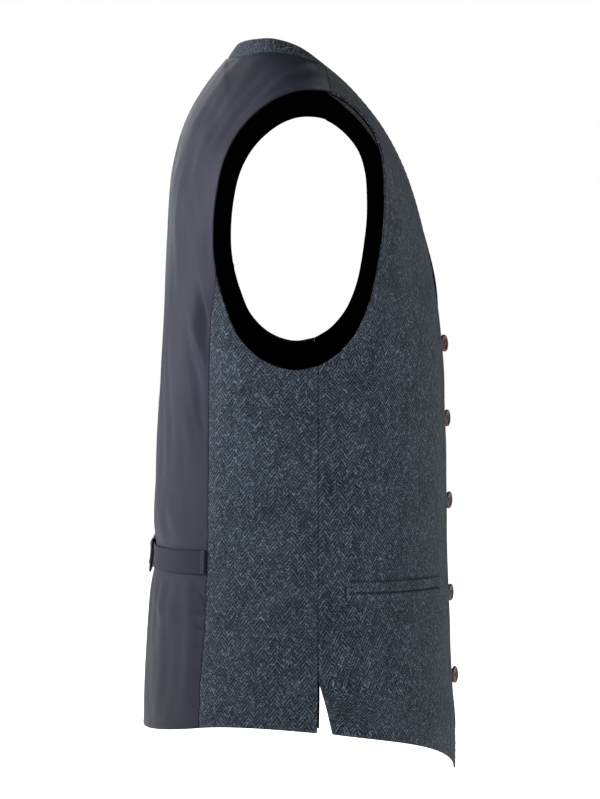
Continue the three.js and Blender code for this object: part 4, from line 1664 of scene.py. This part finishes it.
@dataclass
class CinchStrap:
    """The two halves of the strap across the back, which meet in the buckle."""

    columns: int = 90
    rows: int = 8
    roll: float = 0.7
    seam_inset: float = 0.4
    end_share: float = 0.935
    run: float = 172.0
    over_bar: float = 4.0
    bar_near: float = 2.5
    bar_far: float = 11.5
    tail_columns: int = 8
    cut_right: tuple[float, float] = (165.0, 19.5)
    cut_left: tuple[float, float] = (185.0, 19.5)
    seam_dip: float = 0.25
    seam_in: float = 2.4
    seam_half: float = 0.7

    def build(self) -> None:
        """Makes both halves."""
        rim = RIM_STEPS * self.roll
        half = STRAP_WIDTH / 2
        up = spaced(rim - half, half - rim[::-1], self.rows)
        start = (self.seam_inset + rim) / self.run
        stop = self.end_share - rim[::-1] / self.run
        self.lay(Side.RIGHT, self.strip(spaced(start, stop, self.columns), up), self.cut_right)
        reach = np.linspace(start[-1], 1, self.columns)[1:]
        body = self.strip(np.concatenate([start, reach]), up).mirrored()
        tail_rim = STRAP_TAIL + rim / self.run
        rest = np.linspace(tail_rim[-1], 1, self.tail_columns)[1:-1]
        tail = self.strip(np.concatenate([tail_rim, rest]), up)
        pairs = ((tail.place, body.place), (tail.out, body.out), (tail.across, body.across))
        self.lay(Side.LEFT, Spots(*(np.concatenate(pair, 1) for pair in pairs)), self.cut_left)

    def strip(self, shares: Array, up: Array) -> Spots:
        """Spots of the strap on the right half, for shares across and distances from its middle."""
        z = strap_line(shares)[None] + up[:, None]
        return BACK.at_height(np.broadcast_to(shares[None], z.shape), z)

    def lay(self, side: Side, spots: Spots, cut: tuple[float, float]) -> None:
        """Makes one half over the back.

        Args:
            side: Its side.
            spots: Its spots.
            cut: Its flat size.
        """
        lie = back_rise(side, spots) + STRAP_LIE
        if side is Side.LEFT:
            lie = lie + self.over_bar * (1 - smoothstep(np.abs(spots.y), self.bar_near, self.bar_far))
        grain = np.stack([spots.from_start, spots.from_foot], -1)
        edge = np.minimum(spots.from_foot, spots.from_top)
        dip = -self.seam_dip * bell((edge - self.seam_in) / self.seam_half)
        lie = lie + STRAP_THICK
        cloth = Cloth("strap_" + side.value, spots, lie, STRAP_THICK, self.roll, grain, dip)
        rests = ["back_" + side.value] + (["buckle"] if side is Side.LEFT else [])
        cloth.lay(STRAP_SATIN, "satin", cut, "laid", rests_on=rests)


@dataclass
class SlideBuckle:
    """The slide buckle: a frame with a middle bar."""

    wide: float = 31.0
    high: float = 29.5
    bar: float = 3.0
    thick: float = 1.8
    lift: float = 3.3
    bevel: float = 0.75

    def build(self) -> None:
        """Makes the buckle and seats it over the strap."""
        half, tall, bar = self.wide / 2, self.high / 2, self.bar
        xs = (-half, bar - half, -bar / 2, bar / 2, half - bar, half)
        ys = (-tall, bar - tall, tall - bar, tall)
        form = bmesh.new()
        corners = [[form.verts.new((x, y, 0)) for x in xs] for y in ys]
        for j in range(3):
            for i in range(5):
                if j == 1 and i in (1, 3):
                    continue
                low, high = corners[j], corners[j + 1]
                form.faces.new((low[i], low[i + 1], high[i + 1], high[i]))
        made = bmesh.ops.extrude_face_region(form, geom=list(form.faces))
        raised = [part for part in made["geom"] if isinstance(part, bmesh.types.BMVert)]
        bmesh.ops.translate(form, verts=raised, vec=(0, 0, self.thick))
        bmesh.ops.recalc_face_normals(form, faces=form.faces)
        sharp = [edge for edge in form.edges if edge.calc_face_angle(0) > 0.5]
        bmesh.ops.bevel(form, geom=sharp, offset=self.bevel, segments=4, profile=0.5, affect="EDGES")
        spot = BACK.at_height(np.array([[1.0]]), np.array([[STRAP_CENTRE_Z]]))
        base = spot.lifted(back_rise(Side.RIGHT, spot) + self.lift)[0, 0]
        form.transform(seat(base, spot.out[0, 0]))
        mesh = mesh_of(form, "buckle")
        mesh.shade_smooth()
        mesh.set_sharp_from_angle(angle=math.radians(50))
        settle(link("buckle_frame", mesh, DarkEnamel()), "buckle", "buckle")


def seat(base: Array, axis: Array) -> Matrix:
    """Matrix that stands a form of millimetres on a place, upright, along an axis.

    Args:
        base: The place, in millimetres.
        axis: Where the form's own Z goes.

    Returns:
        The matrix, which scales to metres.
    """
    out = Vector(axis).normalized()
    up = (Vector((0, 0, 1)) - out * out.z).normalized()
    side = up.cross(out)
    turn = Matrix((side, up, out)).transposed().to_4x4()
    return Matrix.Translation(Vector(base) * MM) @ turn @ Matrix.Scale(MM, 4)


@dataclass
class Buttons:
    """The five buttons down the front, each on its thread."""

    radius: float = 7.5
    rim: float = 2.5
    dish: float = 5.0
    dish_depth: float = 0.9
    hole: float = 0.85
    pitch: float = 1.6
    segments: int = 64
    thread: float = 0.36
    coil_radius: float = 1.15
    coil_thread: float = 0.42
    coil_turns: int = 4
    coil_sides: int = 16
    core_radius: float = 1.1
    core_sides: int = 16
    hole_sides: int = 20

    def build(self) -> None:
        """Makes the buttons and their threads."""
        disc = self.disc()
        for number, (z, lean) in enumerate(BUTTON_ROW, 1):
            matrix, off = self.place(z, lean)
            mesh = disc.copy()
            mesh.name = "button_%d" % number
            mesh.transform(matrix)
            settle(link("button_disc_%d" % number, mesh, Horn()), "button", "button_%d" % number)
            self.sew(number, matrix, off)
        bpy.data.meshes.remove(disc)

    def place(self, z: float, lean: float) -> tuple[Matrix, float]:
        """Where a button sits.

        Args:
            z: Its height.
            lean: How far it leans towards the wearer's right, in degrees.

        Returns:
            The matrix that seats it, and how far its back is from the cloth.
        """
        share = FRONT.share_where(1, -BUTTON_Y, lambda _: z)
        spot = FRONT.at_height(np.array([[share]]), np.array([[z]])).mirrored()
        tip = math.radians(lean - HOLLOW_SLOPE)
        over_cloth = min(self.radius, LAP + BUTTON_Y + 0.5)
        off = (BUTTON_CLEAR + over_cloth * math.sin(tip)) / math.cos(tip)
        axis = Matrix.Rotation(-math.radians(lean), 3, "Z") @ Vector(spot.out[0, 0])
        foot = spot.lifted(closure_rise(Side.LEFT, spot))[0, 0]
        return seat(foot + np.array(axis) * off, np.array(axis)), off

    def disc(self) -> bpy.types.Mesh:
        """The pierced disc in millimetres, its back at zero."""
        r, h, d, sunk = self.radius, self.rim, self.dish, self.rim - self.dish_depth
        under = [(0, 0), (r - 1.3, 0), (r - 0.7, 0.12), (r - 0.2, 0.5), (r, 1.1), (r, h - 1.1)]
        brim = [(r - 0.12, h - 0.5), (r - 0.45, h - 0.12), (r - 0.9, h), (d + 0.9, h), (d + 0.35, h - 0.08)]
        bowl = [(d, h - 0.3), (d - 0.35, sunk + 0.2), (d - 0.8, sunk + 0.03), (d - 1.3, sunk), (0, sunk)]
        form = bmesh.new()
        ring = [form.verts.new((x, 0, y)) for x, y in under + brim + bowl]
        edges = [form.edges.new(pair) for pair in zip(ring, ring[1:])]
        turn = {"axis": (0, 0, 1), "cent": (0, 0, 0), "steps": self.segments, "angle": 2 * math.pi}
        bmesh.ops.spin(form, geom=ring + edges, **turn)
        bmesh.ops.remove_doubles(form, verts=form.verts, dist=1e-4)
        bmesh.ops.recalc_face_normals(form, faces=form.faces)
        body = link("disc", mesh_of(form, "disc"))
        drill = bmesh.new()
        for quarter in range(4):
            angle = math.radians(45 + 90 * quarter)
            centre = Matrix.Translation((self.pitch * math.cos(angle), self.pitch * math.sin(angle), 0))
            self.rod(drill, self.hole, 4 * h, self.hole_sides, centre)
        cutter = link("holes", mesh_of(drill, "holes"))
        cut = body.modifiers.new("holes", "BOOLEAN")
        cut.operation, cut.solver, cut.object = "DIFFERENCE", "EXACT", cutter
        done = baked(body)
        for scrap in (body, cutter):
            bpy.data.objects.remove(scrap)
        done.shade_smooth()
        done.set_sharp_from_angle(angle=math.radians(42))
        return done

    def sew(self, number: int, matrix: Matrix, off: float) -> None:
        """Makes the thread through a button's holes and the shank under it.

        Args:
            number: The button's number.
            matrix: The matrix that seats the button.
            off: How far its back is from the cloth.
        """
        half, face = self.pitch * math.sqrt(0.5), self.rim - self.dish_depth
        form = bmesh.new()
        for side in (-1, 1):
            for strand in (-0.3, 0.3):
                x = side * half + strand
                rise = [(-half, -0.2), (-half, face), (-half * 0.7, face + 0.42), (0, face + 0.55)]
                fall = [(half * 0.7, face + 0.42), (half, face), (half, -0.2)]
                tube(form, [Vector((x, y, z)) for y, z in rise + fall], self.thread)
        reach = off - self.radius * 0.1
        drop = max(reach - 0.9, 0.3)
        steps = self.coil_sides * self.coil_turns
        coil = []
        for step in range(steps + 1):
            angle = 2 * math.pi * step / self.coil_sides
            x, y = self.coil_radius * math.cos(angle), self.coil_radius * math.sin(angle)
            coil.append(Vector((x, y, -0.35 - step / steps * drop)))
        tube(form, coil, self.coil_thread)
        middle = Matrix.Translation((0, 0, -reach / 2))
        self.rod(form, self.core_radius, reach, self.core_sides, middle)
        form.transform(matrix)
        mesh = mesh_of(form, "button_thread_%d" % number)
        mesh.shade_smooth()
        settle(link(mesh.name, mesh, WOOL_THREAD), "button")

    def rod(
        self, form: bmesh.types.BMesh, radius: float, length: float, sides: int, place: Matrix
    ) -> None:
        """Adds a closed straight rod to a form."""
        size = {"radius1": radius, "radius2": radius, "depth": length}
        bmesh.ops.create_cone(form, cap_ends=True, segments=sides, matrix=place, **size)


def tube(form: bmesh.types.BMesh, path: list[Vector], radius: float) -> None:
    """Adds a closed round tube along a path.

    Args:
        form: The mesh to add to.
        path: Places along it.
        radius: Its radius.
    """
    rings = []
    normal = Vector((0.31, 0.52, 0.8))
    angles = [2 * math.pi * k / TUBE_SIDES for k in range(TUBE_SIDES)]
    for i, point in enumerate(path):
        along = (path[min(i + 1, len(path) - 1)] - path[max(i - 1, 0)]).normalized()
        normal = (normal - along * normal.dot(along)).normalized()
        side = along.cross(normal)
        spokes = [(normal * math.cos(a) + side * math.sin(a)) * radius for a in angles]
        rings.append([form.verts.new(point + spoke) for spoke in spokes])
    for first, second in zip(rings, rings[1:]):
        for k in range(TUBE_SIDES):
            after = (k + 1) % TUBE_SIDES
            form.faces.new((first[k], first[after], second[after], second[k]))
    form.faces.new(rings[0][::-1])
    form.faces.new(rings[-1])


@dataclass(frozen=True)
class Stitch:
    """A kind of stitch, in metres and radians.

    Args:
        spacing: Distance from one to the next.
        length: Its length.
        width: Its width.
        height: How high it is.
        turn: Its angle to the path.
        slip: How far the angle strays.
    """

    spacing: float
    length: float
    width: float
    height: float
    turn: float
    slip: float


class StitchTree(Nodes):
    """Geometry Nodes that lay thread stitches along paths.

    Args:
        name: The tree's name.
    """

    def __init__(self, name: str) -> None:
        """Builds the tree."""
        super().__init__(bpy.data.node_groups.new(name, "GeometryNodeTree"))
        self.named = {}
        self.ask("path", "Geometry")
        for size in fields(Stitch):
            self.ask(size.name, "Float")
        self.ask("thread", "Material")
        self.ask("stitches", "Geometry", "OUTPUT")
        given = self.node("NodeGroupInput").outputs
        curve = self.made("GeometryNodeMeshToCurve", {"Mesh": given["path"]})
        inputs = {"Curve": curve, "Length": given["spacing"]}
        evenly = self.made("GeometryNodeResampleCurve", inputs, mode="LENGTH")
        stitch = self.made("GeometryNodeMeshUVSphere", {"Segments": 6, "Rings": 4, "Radius": 0.5})
        tangent = self.made("GeometryNodeInputTangent")
        out = self.made("GeometryNodeInputNamedAttribute", {"Name": "out"}, data_type="FLOAT_VECTOR")
        ahead = self.made("FunctionNodeAlignRotationToVector", {"Vector": tangent}, axis="X")
        inputs = {"Rotation": ahead, "Vector": out}
        upright = self.made("FunctionNodeAlignRotationToVector", inputs, axis="Z", pivot_axis="X")
        inputs = {2: -1.0, 3: 1.0, "ID": self.made("GeometryNodeInputIndex"), "Seed": 7}
        stray = self.made("FunctionNodeRandomValue", inputs, 1, data_type="FLOAT")
        inputs = {0: stray, 1: given["slip"], 2: given["turn"]}
        swing = self.made("ShaderNodeMath", inputs, operation="MULTIPLY_ADD")
        turn = self.made("FunctionNodeAxisAngleToRotation", {"Axis": (0, 0, 1), "Angle": swing})
        inputs = {0: upright, 1: turn}
        turned = self.made("FunctionNodeRotateRotation", inputs, rotation_space="LOCAL")
        inputs = {0: given["length"], 1: given["width"], 2: given["height"]}
        size = self.made("ShaderNodeCombineXYZ", inputs)
        inputs = {"Points": evenly, "Instance": stitch, "Rotation": turned, "Scale": size}
        laid = self.made("GeometryNodeInstanceOnPoints", inputs)
        real = self.made("GeometryNodeRealizeInstances", {0: laid})
        smooth = self.made("GeometryNodeSetShadeSmooth", {0: real})
        inputs = {"Geometry": smooth, "Material": given["thread"]}
        self.node("NodeGroupOutput", None, {"stitches": self.made("GeometryNodeSetMaterial", inputs)})

    def ask(self, label: str, kind: str, way: str = "INPUT") -> None:
        """Adds a socket to the tree's interface and keeps its identifier."""
        socket = self.tree.interface.new_socket(label, in_out=way, socket_type="NodeSocket" + kind)
        self.named[label] = socket.identifier

    def lay(self, name: str, paths: list[Path], stitch: Stitch, thread: Finish, slot: str) -> None:
        """Lays stitches along paths, turns them into a plain mesh and settles it.

        Args:
            name: The piece's name.
            paths: Places and outward directions of each path, in millimetres.
            stitch: The kind of stitch.
            thread: The thread's finish.
            slot: The piece's slot.
        """
        mesh = bpy.data.meshes.new(name + "_path")
        places = np.concatenate([place for place, _ in paths]) * MM
        outs = np.concatenate([out for _, out in paths])
        edges, count = [], 0
        for place, _ in paths:
            edges += [(count + k, count + k + 1) for k in range(len(place) - 1)]
            count += len(place)
        mesh.from_pydata(places.tolist(), edges, [])
        layer = mesh.attributes.new("out", "FLOAT_VECTOR", "POINT")
        layer.data.foreach_set("vector", outs.ravel().astype(np.float32))
        carrier = link(name + "_path", mesh)
        modifier = carrier.modifiers.new("stitches", "NODES")
        modifier.node_group = self.tree
        for label, value in (asdict(stitch) | {"thread": thread.material()}).items():
            modifier[self.named[label]] = value
        carrier.update_tag()
        done = baked(carrier)
        bpy.data.objects.remove(carrier)
        bpy.data.meshes.remove(mesh)
        done.name = name
        settle(link(name, done), slot)


@dataclass
class Sewing:
    """The stitches that show: pricked edges, the strap's and pockets' tacks, and the buttonholes."""

    prick: Stitch = Stitch(0.0062, 0.0017, 0.0006, 0.0004, 0.0, 0.25)
    tack: Stitch = Stitch(0.0021, 0.0019, 0.00055, 0.00045, 0.0, 0.1)
    close: Stitch = Stitch(0.00062, 0.0024, 0.0007, 0.0007, math.pi / 2, 0.08)
    edge_inset: float = 5.0
    edge_steps: int = 90
    edge_lift: float = 0.08
    mouth_inset: float = 1.6
    mouth_half: float = 3.2
    mouth_steps: int = 9
    mouth_lift: float = 0.45
    strap_shares: tuple[float, ...] = (0.020, 0.034)
    strap_inset: float = 1.2
    strap_steps: int = 12
    strap_lift: float = 0.05
    hole_length: float = 17.0
    hole_half: float = 0.85
    hole_start_y: float = -5.0
    hole_steps: int = 73
    hole_lift: float = 0.1

    def build(self) -> None:
        """Makes all the stitching."""
        tree = StitchTree("stitches")
        for side in Side:
            ends, label = self.pocket_ends(side), side.value
            tree.lay("edge_stitches_" + label, [self.front_edge(side)], self.prick, WOOL_THREAD, "tweed")
            tree.lay("pocket_tacks_" + label, ends, self.close, WOOL_THREAD, "tweed")
            tree.lay("strap_stitches_" + label, self.strap_lines(side), self.tack, SATIN_THREAD, "satin")
        tree.lay("buttonholes", self.buttonholes(), self.close, HOLE_THREAD, "tweed")

    def front_edge(self, side: Side) -> Path:
        """Path inside a front's edge, from the hem's point up the closure and the neckline.

        Args:
            side: The front's side.

        Returns:
            The path.
        """
        places, outs = [], []
        for span, reach in enumerate(((0.02, 1.0), (0.01, 0.985))):
            shares, spans = np.linspace(*reach, self.edge_steps), np.full(self.edge_steps, span)
            probe = np.tile(np.linspace(0, 1, ROW_PROBES), (self.edge_steps, 1))
            width = travelled(FRONT.places(probe, spans, shares), 1)[:, -1:]
            spots = side.turned(FRONT.spots(self.edge_inset / width, spans, shares))
            places.append(spots.lifted(front_rise(side, spots) + self.edge_lift)[:, 0])
            outs.append(spots.out[:, 0])
        return np.concatenate([places[0], places[1][1:]]), np.concatenate([outs[0], outs[1][1:]])

    def pocket_ends(self, side: Side) -> list[Path]:
        """Short upright paths across both ends of a pocket's mouth.

        Args:
            side: The pocket's side.

        Returns:
            The two paths.
        """
        made = []
        ends = ((POCKET_BACK_X + self.mouth_inset, 0.0), (POCKET_FRONT_X - self.mouth_inset, 1.0))
        for x, along in ends:
            middle = pocket_line(along)
            share = FRONT.share_where(0, x, lambda _: middle)
            z = middle + np.linspace(-self.mouth_half, self.mouth_half, self.mouth_steps)[:, None]
            spots = side.turned(FRONT.at_height(np.full(z.shape, share), z))
            places = spots.lifted(front_rise(side, spots) + LAY_GAP + JET_THICK + self.mouth_lift)
            made.append((places[:, 0], spots.out[:, 0]))
        return made

    def strap_lines(self, side: Side) -> list[Path]:
        """Paths of the stitching that holds a strap half at its seam.

        Args:
            side: The strap half's side.

        Returns:
            The paths.
        """
        made = []
        half = STRAP_WIDTH / 2 - self.strap_inset
        for share in self.strap_shares:
            z = strap_line(share) + np.linspace(-half, half, self.strap_steps)[:, None]
            spots = side.turned(BACK.at_height(np.full(z.shape, share), z))
            places = spots.lifted(back_rise(side, spots) + STRAP_LIE + STRAP_THICK + self.strap_lift)
            made.append((places[:, 0], spots.out[:, 0]))
        return made

    def buttonholes(self) -> list[Path]:
        """Narrow loops round the five buttonholes in the left front."""
        made = []
        angle = np.linspace(0, 2 * math.pi, self.hole_steps)
        along, up = (np.sign(wave) * np.abs(wave) ** 0.6 for wave in (np.cos(angle), np.sin(angle)))
        y = self.hole_start_y + self.hole_length / 2 + self.hole_length / 2 * along
        for z, _ in BUTTON_ROW:
            height = z + self.hole_half * up
            shares = np.array([FRONT.share_where(1, -v, lambda _: z) for v in (y.min(), y.max())])
            share = np.interp(y, (y.min(), y.max()), shares)
            spots = FRONT.at_height(share[:, None], height[:, None]).mirrored()
            places = spots.lifted(front_rise(Side.LEFT, spots) + self.hole_lift)
            made.append((places[:, 0], spots.out[:, 0]))
        return made


@dataclass
class Studio:
    """A plain pale floor, soft light and the photograph's viewpoint."""

    floor_z: float = -0.80
    floor_size: float = 14.0
    lens: float = 77.68
    eye: tuple[float, float, float] = (0.0, -1.5, -0.127)
    tilt: float = 5.66
    ceiling: float = 0.06
    wall: float = 0.35
    wall_top: float = 0.28
    ceiling_edge: float = 0.55

    def build(self) -> None:
        """Makes the camera, the floor, the lights and the room."""
        self.camera()
        self.floor()
        self.light("key", (-0.75, -0.95, 0.10), 0.6, 0.6, (-0.10, -0.12, -0.12), 70)
        self.light("front", (0.95, -1.5, 0.10), 1.2, 28)
        self.light("far", (-0.3, 1.4, 0.3), 1.0, 10)
        self.light("back", (-1.6, 0.3, 0.1), 1.2, 36)
        self.light("satin", (-1.5, -0.3, 0.45), 0.4, 1.5, (-0.14, -0.12, -0.16), 24)
        self.room()

    def camera(self) -> None:
        """Makes the camera."""
        camera = bpy.data.objects.new("camera", bpy.data.cameras.new("camera"))
        camera.data.lens = self.lens
        camera.data.sensor_width = 36.0
        camera.data.clip_start = 0.05
        camera.location = self.eye
        camera.rotation_euler = (math.radians(90 - self.tilt), 0, 0)
        bpy.context.scene.collection.objects.link(camera)
        bpy.context.scene.camera = camera

    def floor(self) -> None:
        """Makes the floor."""
        half = self.floor_size / 2
        mesh = bpy.data.meshes.new("floor")
        corners = [(-half, -half), (half, -half), (half, half), (-half, half)]
        mesh.from_pydata([(x, y, self.floor_z) for x, y in corners], [], [(0, 1, 2, 3)])
        link("floor", mesh, PaleFloor())

    def room(self) -> None:
        """Makes the world: white where the camera sees it, a dim room for everything else."""
        world = bpy.data.worlds.new("studio")
        world.use_nodes = True
        nodes = Nodes(world.node_tree)
        where = nodes.made("ShaderNodeTexCoord", None, "Generated")
        up = nodes.made("ShaderNodeSeparateXYZ", {0: where}, 2)
        span = {"From Min": self.wall_top, "From Max": self.ceiling_edge}
        levels = {"To Min": self.wall, "To Max": self.ceiling}
        inputs = {"Value": up} | span | levels
        dim = nodes.made("ShaderNodeMapRange", inputs, interpolation_type="SMOOTHSTEP")
        seen = nodes.made("ShaderNodeLightPath", None, "Is Camera Ray")
        background = world.node_tree.nodes["Background"]
        strength = nodes.made("ShaderNodeMath", {0: dim, 1: seen}, operation="MAXIMUM")
        nodes.feed(background.inputs["Strength"], strength)
        nodes.feed(background.inputs["Color"], (1.0, 1.0, 1.0))
        bpy.context.scene.world = world
        bpy.context.scene.view_settings.view_transform = "Standard"

    def light(
        self,
        name: str,
        place: Colour,
        size: float,
        power: float,
        at: Colour = (0, 0, -0.28),
        spread: float = 180,
    ) -> None:
        """Adds a soft square light.

        Args:
            name: The light's name.
            place: Where it stands, in metres.
            size: Its side.
            power: Its power in watts.
            at: Where it points.
            spread: The angle over which it shines, in degrees.
        """
        lamp = bpy.data.lights.new(name, "AREA")
        lamp.size, lamp.energy, lamp.spread = size, power, math.radians(spread)
        holder = bpy.data.objects.new(name, lamp)
        holder.location = place
        holder.visible_camera = False
        aim = Vector(at) - Vector(place)
        holder.rotation_euler = aim.to_track_quat("-Z", "Y").to_euler()
        bpy.context.scene.collection.objects.link(holder)


def main() -> None:
    """Builds the waistcoat and its studio."""
    logging.basicConfig(level=logging.INFO, format="%(message)s")
    cloth = (Fronts, SideBodies, Backs, Linings, NeckBand, PocketJets, CinchStrap)
    for part in (*cloth, SlideBuckle, Buttons, Sewing, Studio):
        part().build()


if __name__ == "__main__":
    main()
